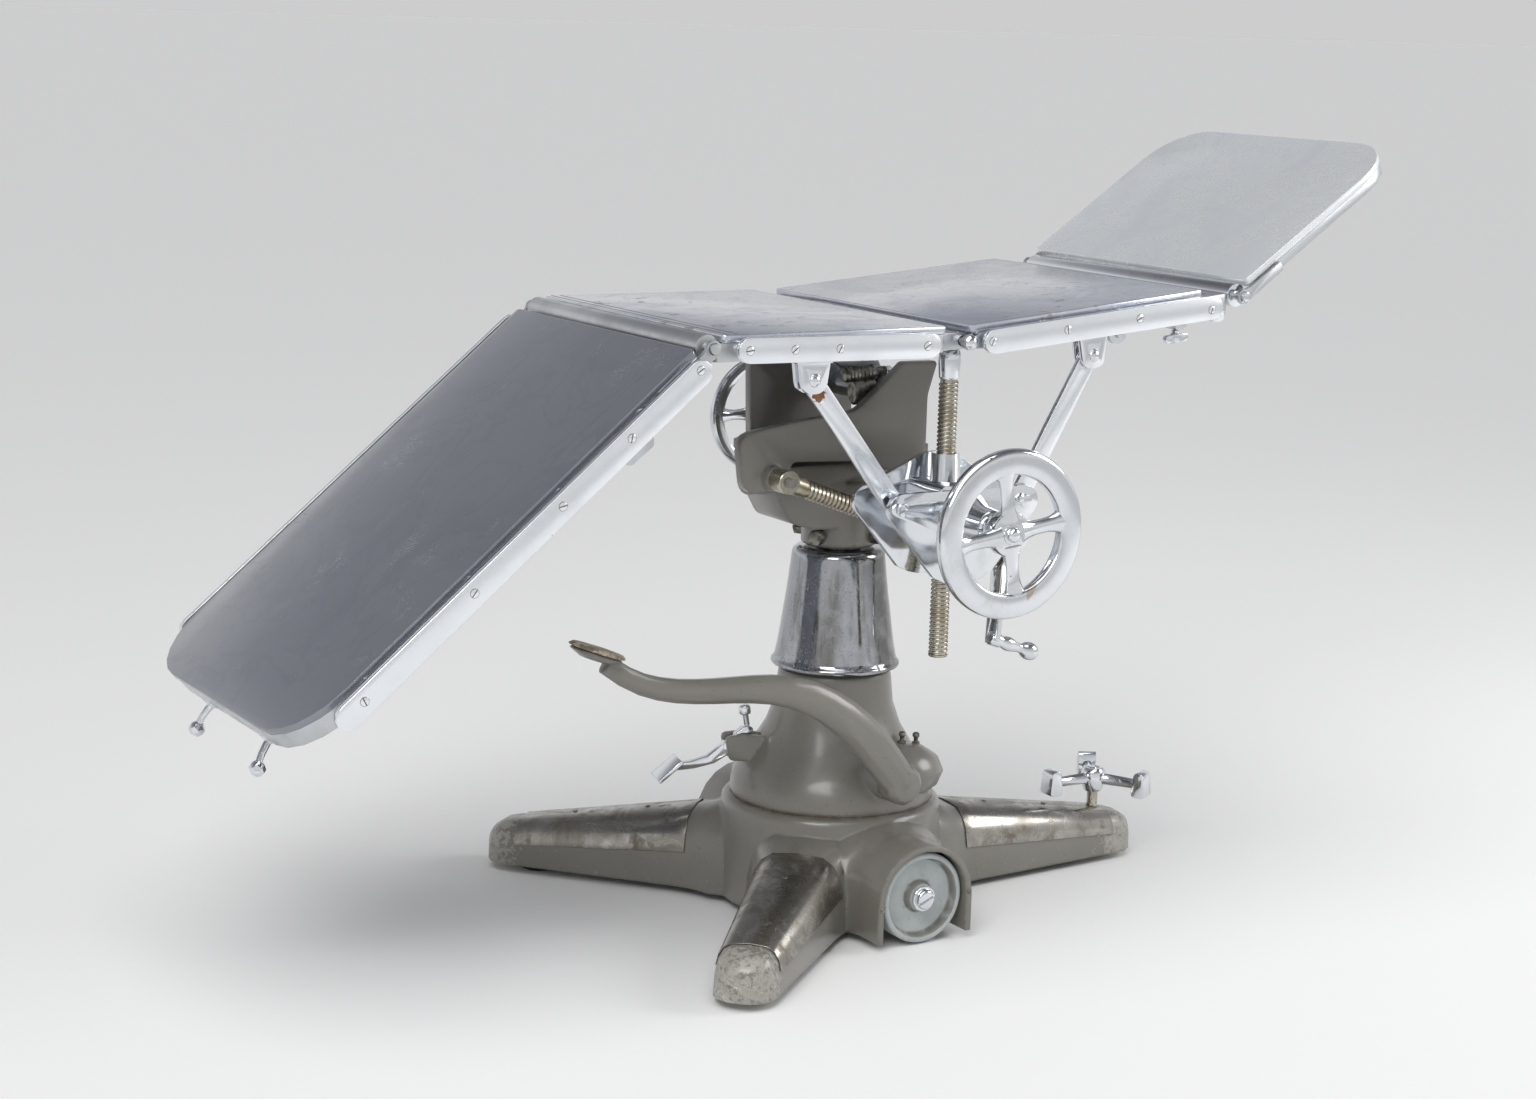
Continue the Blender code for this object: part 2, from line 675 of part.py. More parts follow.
def cylinder(root, steel):
    inner = CYLINDER_BORE
    profile = [
        (inner, GUIDE_TOP_Z + 0.004),
        (CYLINDER_RADIUS - 0.002, GUIDE_TOP_Z + 0.004),
        (CYLINDER_RADIUS, GUIDE_TOP_Z + 0.002),
        (CYLINDER_RADIUS, DECK_Z + 0.012),
        (CYLINDER_RADIUS + 0.028, DECK_Z + 0.012),
        (CYLINDER_RADIUS + 0.028, DECK_Z + SEAT_GAP),
        (CYLINDER_RADIUS, DECK_Z + SEAT_GAP),
        (CYLINDER_RADIUS, CYLINDER_FOOT_Z + 0.004),
        (CYLINDER_RADIUS - 0.004, CYLINDER_FOOT_Z),
        (0.0, CYLINDER_FOOT_Z),
    ]
    floor_z = CYLINDER_FOOT_Z + 0.014
    profile = [(0.0, floor_z), (inner, floor_z)] + profile
    return add("hydraulic_cylinder", turned_mesh("cylinder", profile, ROUND), root, steel)


def pump_lever(root, paint, worn):
    axis = pivot("pump_axis", root, (0, PUMP_Y, PUMP_Z))
    hub_profile = [
        (0.0, 0.018),
        (PUMP_HUB_RADIUS - 0.006, 0.017),
        (PUMP_HUB_RADIUS, 0.011),
        (PUMP_HUB_RADIUS, -0.0165),
        (PUMP_SHAFT_RADIUS, -0.0165),
        (PUMP_SHAFT_RADIUS, -0.050),
        (0.0, -0.050),
    ]
    lever = add("pump_lever", turned_mesh("hub", hub_profile, SMALL_ROUND, "Y"), axis, paint)
    route = [
        (0.0, 0.0),
        (-0.034, 0.043),
        (-0.075, 0.088),
        (-0.130, 0.128),
        (-0.192, 0.149),
        (-0.251, 0.155),
        (-0.310, 0.157),
        (-0.368, 0.165),
        (-0.418, 0.184),
        (-0.447, 0.206),
    ]
    radii = [0.0240, 0.0265, 0.0260, 0.0235, 0.0205, 0.0180, 0.0165, 0.0155, 0.0140, 0.0130]
    arm = tube_mesh("arm", [(x, 0, z) for x, z in route], radii, 3)
    arm.transform(Matrix.Translation((0, -0.003, 0)) @ Matrix.Scale(ARM_FLATNESS, 4, (0, 1, 0)))
    join(lever, arm)
    disc = [(0.0, 0.0), (PAD_RADIUS - 0.006, 0.0), (PAD_RADIUS - 0.002, -0.003), (0.020, -0.010),
            (0.0, -0.011)]
    pad_place = (-0.458, 0, 0.222)
    pad_turn = (0, 19, 0)
    join(lever, turned_mesh("cup", disc, ROUND), at=pad_place, turn=pad_turn)
    merge_flats(lever)
    top = SEAT_GAP
    tread = [
        (0.0, top + 0.006),
        (PAD_RADIUS - 0.004, top + 0.005),
        (PAD_RADIUS, top + 0.002),
        (PAD_RADIUS, top),
        (0.0, top),
    ]
    add("pump_pad", turned_mesh("tread", tread, ROUND), axis, worn, at=pad_place, turn=pad_turn)


def release_pedal(root, chrome):
    frame = pivot("release_frame", root, (0, 0, 0), (0, 0, PEDAL_AZIMUTH))
    axis = pivot("release_axis", frame, (PEDAL_PIVOT_R, 0, PEDAL_PIVOT_Z))
    pedal = add("release_pedal", rod_mesh("hub", (0, -0.008, 0), (0, 0.008, 0), 0.0105, SMALL_ROUND), axis,
                chrome)
    outline = [
        (-0.032, 0.019),
        (-0.031, 0.028),
        (-0.018, 0.026),
        (0.006, 0.007),
        (0.030, -0.012),
        (0.055, -0.019),
        (0.078, -0.020),
        (0.076, -0.030),
        (0.050, -0.028),
        (0.022, -0.022),
        (-0.002, -0.008),
        (-0.016, 0.010),
    ]
    join(pedal, plate_mesh("lever", [rounded(outline, 0.003, 3)], -0.0065, 0.0065))
    tread = box_mesh("tread", (-0.021, -0.022, -0.003), (0.021, 0.022, 0.003), 0.0015)
    join(pedal, tread, at=(0.086, 0, -0.028), turn=(0, 40, 0))
    merge_flats(pedal)
    profile = [
        (0.0, 0.030),
        (0.0075, 0.029),
        (0.0085, 0.026),
        (0.0085, 0.019),
        (0.0075, 0.017),
        (0.0042, 0.016),
        (0.0042, SEAT_GAP),
        (0.0, SEAT_GAP),
    ]
    add("release_screw", turned_mesh("screw", profile, FINE_ROUND), axis, chrome, at=(-0.0245, 0, 0.0273),
        turn=(0, 9, 0))


def floor_lock(root, chrome, steel):
    travel = pivot("lock_axis", root, (LOCK_R, 0, 0))
    screw_profile = [
        (0.0, LOCK_HUB_Z + 0.012),
        (LOCK_SCREW_RADIUS, LOCK_HUB_Z + 0.012),
        (LOCK_SCREW_RADIUS, 0.010),
        (0.0065, 0.004),
        (0.0, 0.003),
    ]
    add("lock_screw", turned_mesh("screw", screw_profile, SMALL_ROUND), travel, steel)
    turn = pivot("lock_handle_axis", travel, (0, 0, LOCK_HUB_Z))
    inner = LOCK_SCREW_RADIUS + SIDE_GAP
    hub_profile = [
        (inner, 0.0165),
        (0.014, 0.0165),
        (0.018, 0.011),
        (0.018, -0.004),
        (0.013, -0.018),
        (inner, -0.018),
    ]
    handle = add("lock_handle", turned_mesh("hub", hub_profile, SMALL_ROUND, closed=True), turn, chrome)
    for spoke in range(3):
        angle = 60 + spoke * 120
        arm = rod_mesh("arm", (0.014, 0, 0.001), (LOCK_ARM, 0, 0.001), 0.0085, FINE_ROUND, 0.0075)
        join(handle, arm, turn=(0, 0, angle))
        lobe = [(-0.008, -0.016), (0.014, -0.017), (0.011, 0.019), (-0.004, 0.021)]
        mesh = plate_mesh("lobe", [rounded(lobe, 0.005, 3)], -0.013, 0.013)
        mesh.transform(Matrix.Translation((LOCK_ARM, 0, 0)))
        join(handle, mesh, turn=(0, 0, angle))
    return handle


def lift_parts(lift, steel, chrome):
    ram = [
        (0.0, RAM_TOP_Z),
        (RAM_RADIUS - 0.004, RAM_TOP_Z),
        (RAM_RADIUS - 0.002, RAM_TOP_Z - 0.002),
        (RAM_RADIUS - 0.002, 0.056),
        (RAM_RADIUS - 0.006, 0.050),
        (0.0, 0.050),
    ]
    add("ram", turned_mesh("ram", ram, ROUND), lift, steel)
    wall = SLEEVE_WALL
    top = SLEEVE_TOP_Z
    bottom = SLEEVE_BOTTOM_Z
    outer = [
        (RAM_RADIUS - 0.002 + SEAT_GAP * 3, top),
        (SLEEVE_TOP_RADIUS - 0.010, top),
        (SLEEVE_TOP_RADIUS - 0.003, top - 0.004),
        (SLEEVE_TOP_RADIUS, top - 0.012),
        (SLEEVE_MIDDLE_RADIUS, SLEEVE_MIDDLE_Z),
        (SLEEVE_BOTTOM_RADIUS, bottom + 0.010),
        (SLEEVE_BOTTOM_RADIUS + 0.0045, bottom + 0.004),
        (SLEEVE_BOTTOM_RADIUS + 0.003, bottom),
    ]
    inner = [
        (SLEEVE_BOTTOM_RADIUS - wall, bottom),
        (SLEEVE_BOTTOM_RADIUS - wall, bottom + 0.010),
        (SLEEVE_MIDDLE_RADIUS - wall, SLEEVE_MIDDLE_Z),
        (SLEEVE_TOP_RADIUS - wall, top - wall),
        (RAM_RADIUS - 0.002 + SEAT_GAP * 3, top - wall),
    ]
    add("column_sleeve", turned_mesh("sleeve", outer + inner, LARGE_ROUND, closed=True), lift, chrome)


def turret_casting(turret, paint, bolt):
    x_low, x_high = TILT_X - 0.156, TILT_X + 0.0275
    neck_profile = [
        (0.0, SIDE_TILT_Z - 0.010),
        (NECK_RADIUS - 0.002, SIDE_TILT_Z - 0.010),
        (NECK_RADIUS, SIDE_TILT_Z - 0.040),
        (NECK_RADIUS, NECK_BOTTOM_Z + 0.004),
        (NECK_RADIUS - 0.004, NECK_BOTTOM_Z),
        (0.0, NECK_BOTTOM_Z),
    ]
    body = add("turret", turned_mesh("neck", neck_profile, ROUND), turret, paint)
    lobe = [
        (x_low + 0.058, SIDE_TILT_Z - 0.070, 0.02),
        (x_low + 0.022, SIDE_TILT_Z - 0.059, 0.02),
        (x_low, SIDE_TILT_Z - 0.020, 0.03),
        (x_low, SIDE_TILT_Z + 0.016, 0.006),
        (x_high, SIDE_TILT_Z + 0.016, 0.006),
        (x_high, SIDE_TILT_Z - 0.060, 0.012),
        (0.0, SIDE_TILT_Z - 0.072, 0.005),
    ]
    mesh = plate_mesh("lobe", [rounded(lobe, 0.01)], -0.044, 0.044)
    join(body, mesh)
    barrel = rod_mesh("barrel", (x_low, 0, SIDE_TILT_Z), (x_high, 0, SIDE_TILT_Z), BARREL_RADIUS, ROUND)
    join(body, barrel)
    cut(body, rod_mesh("ram_bore", (0, 0, NECK_BOTTOM_Z - 0.01), (0, 0, RAM_TOP_Z + 0.001),
                       RAM_RADIUS - 0.002 + RUN_GAP, ROUND))
    bore_start = (x_low - 0.03, 0, SIDE_TILT_Z)
    cut(body, rod_mesh("pin_bore", bore_start, (x_high + 0.02, 0, SIDE_TILT_Z), PIN_RADIUS + RUN_GAP))
    merge_flats(body)
    for i, azimuth in enumerate((-62, 28, 118, 208)):
        head = rod_mesh("bolt", (0, 0, 0), (0.015, 0, 0), 0.0110, 6)
        holder = pivot(f"bolt_axis_{i + 1}", turret, (0, 0, NECK_BOTTOM_Z + 0.0155), (0, 0, azimuth))
        add(f"clamp_bolt_{i + 1}", head, holder, bolt, at=(NECK_RADIUS + SEAT_GAP, 0, 0))
    return x_low, x_high


def cradle_casting(cradle, x_low, x_high, paint, steel, dark):
    half = CRADLE_HALF_WIDTH
    wall = CRADLE_WALL
    near_outline = [
        (EYE_X + 0.029, CRADLE_FLOOR_Z, 0.010),
        (EYE_X + 0.021, EYE_Z - 0.020, 0.017),
        (EYE_X - 0.042, EYE_Z - 0.020, 0.022),
        (EYE_X - 0.052, EYE_Z + 0.057, 0.020),
        (EYE_X + 0.040, EYE_Z + 0.071, 0.05),
        (TILT_X - 0.070, TILT_Z - 0.021, 0.04),
        (TILT_X + 0.002, TILT_Z + 0.041, 0.010),
        (TILT_X + 0.054, TILT_Z + 0.041, 0.003),
        (TILT_X + 0.040, TILT_Z - 0.004, 0.05),
        (TILT_X + 0.040, SIDE_TILT_Z + 0.006, 0.008),
        (TILT_X + 0.002, SIDE_TILT_Z + 0.006, 0.03),
        (TILT_X - 0.058, CRADLE_FLOOR_Z - 0.005, 0.06),
    ]
    body = add("cradle", plate_mesh("near_wall", [rounded(near_outline, 0.01)], -half, wall - half), cradle,
               paint)
    soften(body, 0.0035, 1, 50)
    far_outline = [
        (TILT_X - 0.120, CRADLE_FLOOR_Z - 0.003, 0.006),
        (TILT_X - 0.124, TILT_Z + 0.028, 0.014),
        (TILT_X - 0.058, TILT_Z + 0.032, 0.02),
        (TILT_X + 0.002, TILT_Z + 0.041, 0.010),
        (TILT_X + 0.054, TILT_Z + 0.041, 0.003),
        (TILT_X + 0.040, TILT_Z - 0.004, 0.05),
        (TILT_X + 0.040, SIDE_TILT_Z + 0.006, 0.008),
        (TILT_X - 0.028, CRADLE_FLOOR_Z - 0.005, 0.03),
    ]
    join(body, plate_mesh("far_wall", [rounded(far_outline, 0.01)], half - wall, half))
    floor_top = CRADLE_FLOOR_Z + CRADLE_FLOOR_THICKNESS
    edge = half - 0.004
    floor_outline = [(EYE_X - 0.035, -edge), (x_high + 0.019, -edge), (x_high + 0.019, edge),
                     (TILT_X - 0.112, edge), (x_low - 0.022, 0.034), (x_low - 0.022, -0.034),
                     (EYE_X - 0.035, 0.022 - edge)]
    floor = panel_mesh("floor", [floor_outline], CRADLE_FLOOR_Z, floor_top)
    join(body, floor)
    for low, high in ((x_low - 0.021, x_low - SIDE_GAP), (x_high + SIDE_GAP, x_high + 0.019)):
        lug = [(-0.030, floor_top - 0.002), (-0.024, SIDE_TILT_Z - 0.024, 0.022),
               (0.024, SIDE_TILT_Z - 0.024, 0.022),
               (0.030, floor_top - 0.002)]
        mesh = plate_mesh("lug", [rounded(lug, 0.0005, 4)], 0, high - low)
        mesh.transform(Matrix.Translation((low, 0, 0)) @ Matrix.Rotation(-math.pi / 2, 4, "Z"))
        join(body, mesh)
    pin_ends = [(x, 0, SIDE_TILT_Z) for x in (x_low - 0.122, x_high + 0.0645)]
    cut(body, rod_mesh("pin_bore", *pin_ends, PIN_RADIUS + SEAT_GAP))
    boss_inner = half - wall - 0.020
    for side in (-1, 1):
        boss = rod_mesh("boss", (TILT_X, side * (half - 0.006), TILT_Z),
                        (TILT_X, side * boss_inner, TILT_Z), 0.019)
        join(body, boss)
    bore(body, TILT_X, TILT_Z, PIN_RADIUS + SEAT_GAP, 0.004 - half, half - 0.004)
    eye_boss = rod_mesh("eye_boss", (EYE_X, wall / 2 - half, EYE_Z), (EYE_X, SCREW_Y + 0.0145, EYE_Z),
                        0.0185, SMALL_ROUND, 0.0165)
    join(body, eye_boss)
    join(body, rod_mesh("eye_pin", (EYE_X, -half, EYE_Z), (EYE_X, SCREW_Y - 0.020, EYE_Z), 0.0065))
    gear_boss = rod_mesh("gear_boss", (GEAR_WHEEL_X, half - 0.006, GEAR_WHEEL_Z),
                         (GEAR_WHEEL_X, GEAR_WHEEL_Y - 0.032, GEAR_WHEEL_Z), 0.022, SMALL_ROUND, 0.016)
    join(body, gear_boss)
    bore(body, GEAR_WHEEL_X, GEAR_WHEEL_Z, 0.0085 + RUN_GAP, half - 0.002, GEAR_WHEEL_Y)
    merge_flats(body)
    pin = rod_mesh("side_pin", (x_low - 0.024, 0, SIDE_TILT_Z), (x_high + 0.022, 0, SIDE_TILT_Z),
                   PIN_RADIUS)
    add("side_tilt_pin", pin, cradle, steel)
    shaft = rod_mesh("tilt_pin", (TILT_X, 0.0045 - half, TILT_Z), (TILT_X, half - 0.0045, TILT_Z),
                     PIN_RADIUS)
    add("tilt_pin", shaft, cradle, dark)
    return boss_inner


def spoked_wheel(name, radius, rim, depth, hub, parent, material, spoke_turn):
    """Handwheel in the X-Z plane, its face at y = 0 and its depth towards +Y."""
    section = [
        (radius - rim + 0.003, 0.001),
        (radius - 0.006, 0.0),
        (radius - 0.0005, depth * 0.28),
        (radius - 0.002, depth * 0.8),
        (radius - 0.008, depth),
        (radius - rim + 0.005, depth * 0.9),
        (radius - rim, depth * 0.4),
    ]
    ring = turned_mesh("rim", [(r, -y) for r, y in section], LARGE_ROUND, "Y", closed=True)
    wheel = add(name, ring, parent, material)
    for i in range(4):
        angle = math.radians(spoke_turn + 90 * i)
        inner = Vector((math.cos(angle), 0, math.sin(angle))) * (hub * 0.6)
        outer = Vector((math.cos(angle), 0, math.sin(angle))) * (radius - rim + 0.004)
        lift = Vector((0, depth * 0.42, 0))
        join(wheel, rod_mesh("spoke", inner + lift, outer + lift, 0.0078, FINE_ROUND, 0.0098))
    return wheel


def gear_wheel(cradle, chrome):
    axis = pivot("gear_wheel_axis", cradle, (GEAR_WHEEL_X, GEAR_WHEEL_Y, GEAR_WHEEL_Z), (0, 0, 180))
    wheel = spoked_wheel("gear_wheel", GEAR_WHEEL_RADIUS, 0.020, 0.016, 0.022, axis, chrome, 0)
    reach = GEAR_WHEEL_Y - CRADLE_HALF_WIDTH
    hub = [
        (0.0, 0.004),
        (0.015, 0.004),
        (0.022, 0.0),
        (0.022, -0.018),
        (0.016, -0.028),
        (0.0085, -0.029),
        (0.0085, 0.004 - reach),
        (0.0, 0.004 - reach),
    ]
    join(wheel, turned_mesh("hub", hub, SMALL_ROUND, "Y"))
    return wheel


def top_ring(name, u_low, u_high, low, high, corner_low, corner_high, parent, material, half):
    """Open rectangular frame of a table section, with its crossbars left inside."""
    outer = [(u_low, -half, corner_low), (u_high, -half, corner_high), (u_high, half, corner_high),
             (u_low, half, corner_low)]
    bar = FRAME_BAR
    shrink = [max(corner_low - bar, 0.004), max(corner_high - bar, 0.004)]
    inner = [
        (u_low + bar, bar - half, shrink[0]),
        (u_high - bar, bar - half, shrink[1]),
        (u_high - bar, half - bar, shrink[1]),
        (u_low + bar, half - bar, shrink[0]),
    ]
    loops = [rounded(outer, 0.004, 5), rounded(inner, 0.004, 5)]
    return add(name, panel_mesh(name, loops, low, high), parent, material)


def sheet(name, u_low, u_high, top, corner_low, corner_high, parent, material, half=TOP_HALF_WIDTH):
    corners = [(u_low, -half, corner_low), (u_high, -half, corner_high), (u_high, half, corner_high),
               (u_low, half, corner_low)]
    mesh = panel_mesh(name, [rounded(corners, 0.006, 6)], top - SHEET_THICKNESS, top)
    piece = add(name, mesh, parent, material)
    soften(piece, 0.0042, 2, 50)
    return piece


def rail(name, side, start, end, parent, material, posts):
    """Accessory rail with round ends, held off the frame by short posts."""
    radius = RAIL_HEIGHT / 2
    a = Vector(start)
    b = Vector(end)
    slope = math.degrees(math.atan2(b.y - a.y, b.x - a.x))
    outline = arc(a, radius, slope + 90, slope + 270, 6) + arc(b, radius, slope - 90, slope + 90, 6)
    outer = side * RAIL_FACE_Y
    inner = side * (RAIL_FACE_Y - RAIL_THICKNESS)
    piece = add(name, plate_mesh(name, [outline], *sorted((outer, inner))), parent, material)
    for share in posts:
        spot = a.lerp(b, share)
        foot = side * (FRAME_HALF_WIDTH + SEAT_GAP)
        join(piece, rod_mesh("post", (spot.x, side * (RAIL_FACE_Y - 0.003), spot.y), (spot.x, foot, spot.y),
                             0.0075, FINE_ROUND))
    return piece


def seat_section(seat, boss_inner, paint, plate, chrome, dark):
    frame_top = TOP_Z - SHEET_THICKNESS - SEAT_GAP
    frame_low = frame_top - FRAME_DEPTH
    half = FRAME_HALF_WIDTH
    u_low, u_high = LEG_HINGE_X + 0.006, FLEX_HINGE_X - 0.034
    frame = top_ring("seat_frame", u_low, u_high, frame_low, frame_top, 0.003, 0.003, seat, paint, half)
    nose_z = TOP_Z - NOSING_RADIUS
    nosing = rod_mesh("nosing", (LEG_HINGE_X, NOSE_HALF_WIDTH, nose_z),
                      (LEG_HINGE_X, -NOSE_HALF_WIDTH, nose_z), NOSING_RADIUS, ROUND)
    join(frame, nosing)
    for side in (-1, 1):
        pin_ends = [(LEG_HINGE_X, side * y, nose_z) for y in (NOSE_HALF_WIDTH - 0.0085, PIN_END_Y)]
        pin = rod_mesh("leg_pin", *pin_ends, HINGE_PIN_RADIUS)
        join(frame, pin)
        ear = [(u_high - 0.02, frame_low)] + arc((FLEX_HINGE_X, FLEX_HINGE_Z), EAR_RADIUS, -80, 80, 6)
        ear.append((u_high - 0.02, frame_top))
        ear_edges = sorted((side * (NOSE_HALF_WIDTH - 0.008), side * NOSE_HALF_WIDTH))
        join(frame, plate_mesh("ear", [ear], *ear_edges))
        bore_ends = (side * (NOSE_HALF_WIDTH - 0.0285), side * (NOSE_HALF_WIDTH + 0.0065))
        bore(frame, FLEX_HINGE_X, FLEX_HINGE_Z, HINGE_PIN_RADIUS + SEAT_GAP, *bore_ends)
    for x in (TILT_X - 0.163, TILT_X - 0.036):
        bridge = box_mesh("bridge", (x - 0.014, -half + 0.01, frame_low + 0.0006),
                          (x + 0.014, half - 0.01, frame_top - 0.004))
        join(frame, bridge)
    hub_half = boss_inner - SIDE_GAP
    hub = rod_mesh("tilt_hub", (TILT_X, -hub_half, TILT_Z), (TILT_X, hub_half, TILT_Z), 0.021, ROUND)
    join(frame, hub)
    arm = [(TILT_X - 0.017, TILT_Z - 0.010, 0.004), (TILT_X + 0.018, TILT_Z - 0.007, 0.004),
           (TILT_X - 0.024, frame_low + 0.006, 0.002), (TILT_X - 0.188, frame_low + 0.006, 0.002),
           (TILT_X - 0.178, frame_low - 0.020, 0.01), (TILT_X - 0.068, frame_low - 0.034, 0.03)]
    for side in (-1, 1):
        web = sorted((side * (hub_half - 0.0309), side * (hub_half - 0.0189)))
        join(frame, plate_mesh("web", [rounded(arm, 0.002, 3)], *web))
    bore(frame, TILT_X, TILT_Z, PIN_RADIUS + RUN_GAP, -hub_half - 0.025, hub_half + 0.025, ROUND)
    merge_flats(frame)
    sheet("seat_sheet", LEG_HINGE_X + NOSING_RADIUS + SEAT_GAP, FLEX_HINGE_X - 0.032, TOP_Z, 0.003, 0.006,
          seat, plate)
    for side, label in ((-1, "near"), (1, "far")):
        rail(f"seat_rail_{label}", side, (LEG_HINGE_X + 0.042, TOP_Z - 0.0178),
             (FLEX_HINGE_X - 0.070, TOP_Z - 0.0213), seat, chrome, (0.0, 0.24, 0.49, 0.98))
    face = EAR_Y + EAR_THICKNESS + SIDE_GAP
    head = [(0.0, face + 0.0075), (0.006, face + 0.006), (0.0098, face + 0.002), (0.0098, face)]
    far_head = [(r, -y) for r, y in reversed(head)]
    shaft = head + [(HINGE_PIN_RADIUS, face), (HINGE_PIN_RADIUS, -face)] + far_head
    add("flex_pin", turned_mesh("flex_pin", shaft, SMALL_ROUND, "Y"), seat, chrome,
        at=(FLEX_HINGE_X, 0, FLEX_HINGE_Z))
    clevis("seat_bracket", seat, SEAT_LINK_PIN, frame_low, 0.0, chrome)
    return frame_low, frame_top


def clevis(name, parent, pin, seat_z, slope, chrome):
    """Two ears with a pin, hanging under a frame; the link swings between the ears."""
    x, z = pin
    ear = [(x - 0.023, seat_z - SEAT_GAP, 0.001), (x - 0.017, z - 0.017, 0.016),
           (x + 0.017, z - 0.017, 0.016), (x + 0.023, seat_z - SEAT_GAP, 0.001)]
    outer = sorted((LINK_PIN_Y - LINK_THICKNESS / 2 - SIDE_GAP,
                    LINK_PIN_Y - LINK_THICKNESS / 2 - SIDE_GAP - 0.006))
    inner = sorted((LINK_PIN_Y + LINK_THICKNESS / 2 + SIDE_GAP,
                    LINK_PIN_Y + LINK_THICKNESS / 2 + SIDE_GAP + 0.006))
    piece = add(name, plate_mesh(name, [rounded(ear, 0.001, 4)], *outer), parent, chrome)
    join(piece, plate_mesh("ear", [rounded(ear, 0.001, 4)], *inner))
    foot_low = seat_z - SEAT_GAP - 0.006
    join(piece, box_mesh("foot", (x - 0.026, outer[0], foot_low),
                         (x + 0.026, inner[1] + 0.022, seat_z - SEAT_GAP)))
    pin_profile = [
        (0.0, -outer[0] + 0.0045),
        (0.006, -outer[0] + 0.0035),
        (0.0085, -outer[0] + 0.0008),
        (0.0085, -outer[0] - 0.001),
        (0.0065, -outer[0] - 0.001),
        (0.0065, -inner[1]),
        (0.0, -inner[1]),
    ]
    join(piece, turned_mesh("pin", pin_profile, SMALL_ROUND, "Y"), at=(x, 0, z))
    return piece


def ear_pair(piece, toward, low, high, reach):
    """Two hinge ears outside the section's sides; toward is the side of the hinge that they reach in from."""
    for side in (-1, 1):
        ear = arc((0, 0), EAR_RADIUS, 90 - toward * 50, 90 + toward * 200, 7)
        ear += [(toward * reach, low), (toward * reach, high), (toward * 0.0165, high)]
        inner = side * EAR_Y
        join(piece, plate_mesh("ear", [ear], *sorted((inner, inner + side * EAR_THICKNESS))))
        spacer = [(0.040, low + 0.001), (reach - 0.001, low + 0.001), (reach - 0.001, high - 0.001),
                  (0.040, high - 0.001)]
        spacer = [(toward * u, w) for u, w in spacer]
        inner = side * (TOP_HALF_WIDTH - 0.003)
        join(piece, plate_mesh("spacer", [spacer], *sorted((inner, side * (EAR_Y + 0.001)))))
        bore(piece, 0, 0, HINGE_PIN_RADIUS + RUN_GAP, side * (EAR_Y - 0.001), side * (EAR_Y + 0.0195))


def leg_section(leg, paint, panel, chrome):
    """Local axes at the hinge: the section runs along -X and its top faces +Z."""
    top = NOSING_RADIUS - 0.0004
    frame_top = top - SHEET_THICKNESS - SEAT_GAP
    frame_low = frame_top - FRAME_DEPTH
    half = FRAME_HALF_WIDTH
    start = NOSING_RADIUS + 0.0022
    frame = top_ring("leg_frame", -LEG_LENGTH + 0.002, -start - 0.012, frame_low, frame_top, CORNER_RADIUS,
                     0.003, leg, paint, half)
    ear_pair(frame, -1, frame_low + 0.004, frame_top - 0.0006, 0.085)
    middle = -LEG_LENGTH * 0.45
    bar = box_mesh("crossbar", (middle - 0.012, -half + 0.01, frame_low + 0.003),
                   (middle + 0.012, half - 0.01, frame_top - 0.003))
    join(frame, bar)
    lug_edges = (-half + 0.0005, LUG_THICKNESS - half)
    lug = [(LEG_LUG_PLACE - 0.034, frame_low + 0.004), (LEG_LUG_PLACE - 0.027, frame_low - 0.020, 0.003),
           (LEG_LUG_PLACE + 0.012, frame_low - 0.022, 0.003), (LEG_LUG_PLACE + 0.030, frame_low + 0.004)]
    join(frame, plate_mesh("leg_lug", [rounded(lug, 0.001)], *lug_edges))
    merge_flats(frame)
    sheet("leg_sheet", -LEG_LENGTH, -start, top, CORNER_RADIUS, 0.006, leg, panel)
    for side, label in ((-1, "near"), (1, "far")):
        rail(f"leg_rail_{label}", side, (-0.036, -0.004), (0.070 - LEG_LENGTH, -0.0045), leg, chrome,
             (0.13, 0.37, 0.63, 0.92))
    return frame_low


def end_lever(name, parent, x, y, low, turn, chrome):
    """Small ball-ended locking lever under the foot end."""
    axis = pivot(f"{name}_axis", parent, (x, y, low - SEAT_GAP), (0, 0, turn))
    boss = [(0.0, 0.0), (0.011, 0.0), (0.011, -0.012), (0.0075, -0.018), (0.0, -0.018)]
    lever = add(name, turned_mesh("boss", boss, FINE_ROUND), axis, chrome)
    join(lever, tube_mesh("arm", [(0, 0, -0.012), (-0.020, 0, -0.013), (-0.036, 0, -0.022)],
                          [0.0052, 0.0048, 0.0042], 2))
    join(lever, ball_mesh("ball", (-0.040, 0, -0.025), (0.0105, 0.0105, 0.0105)))
    return lever


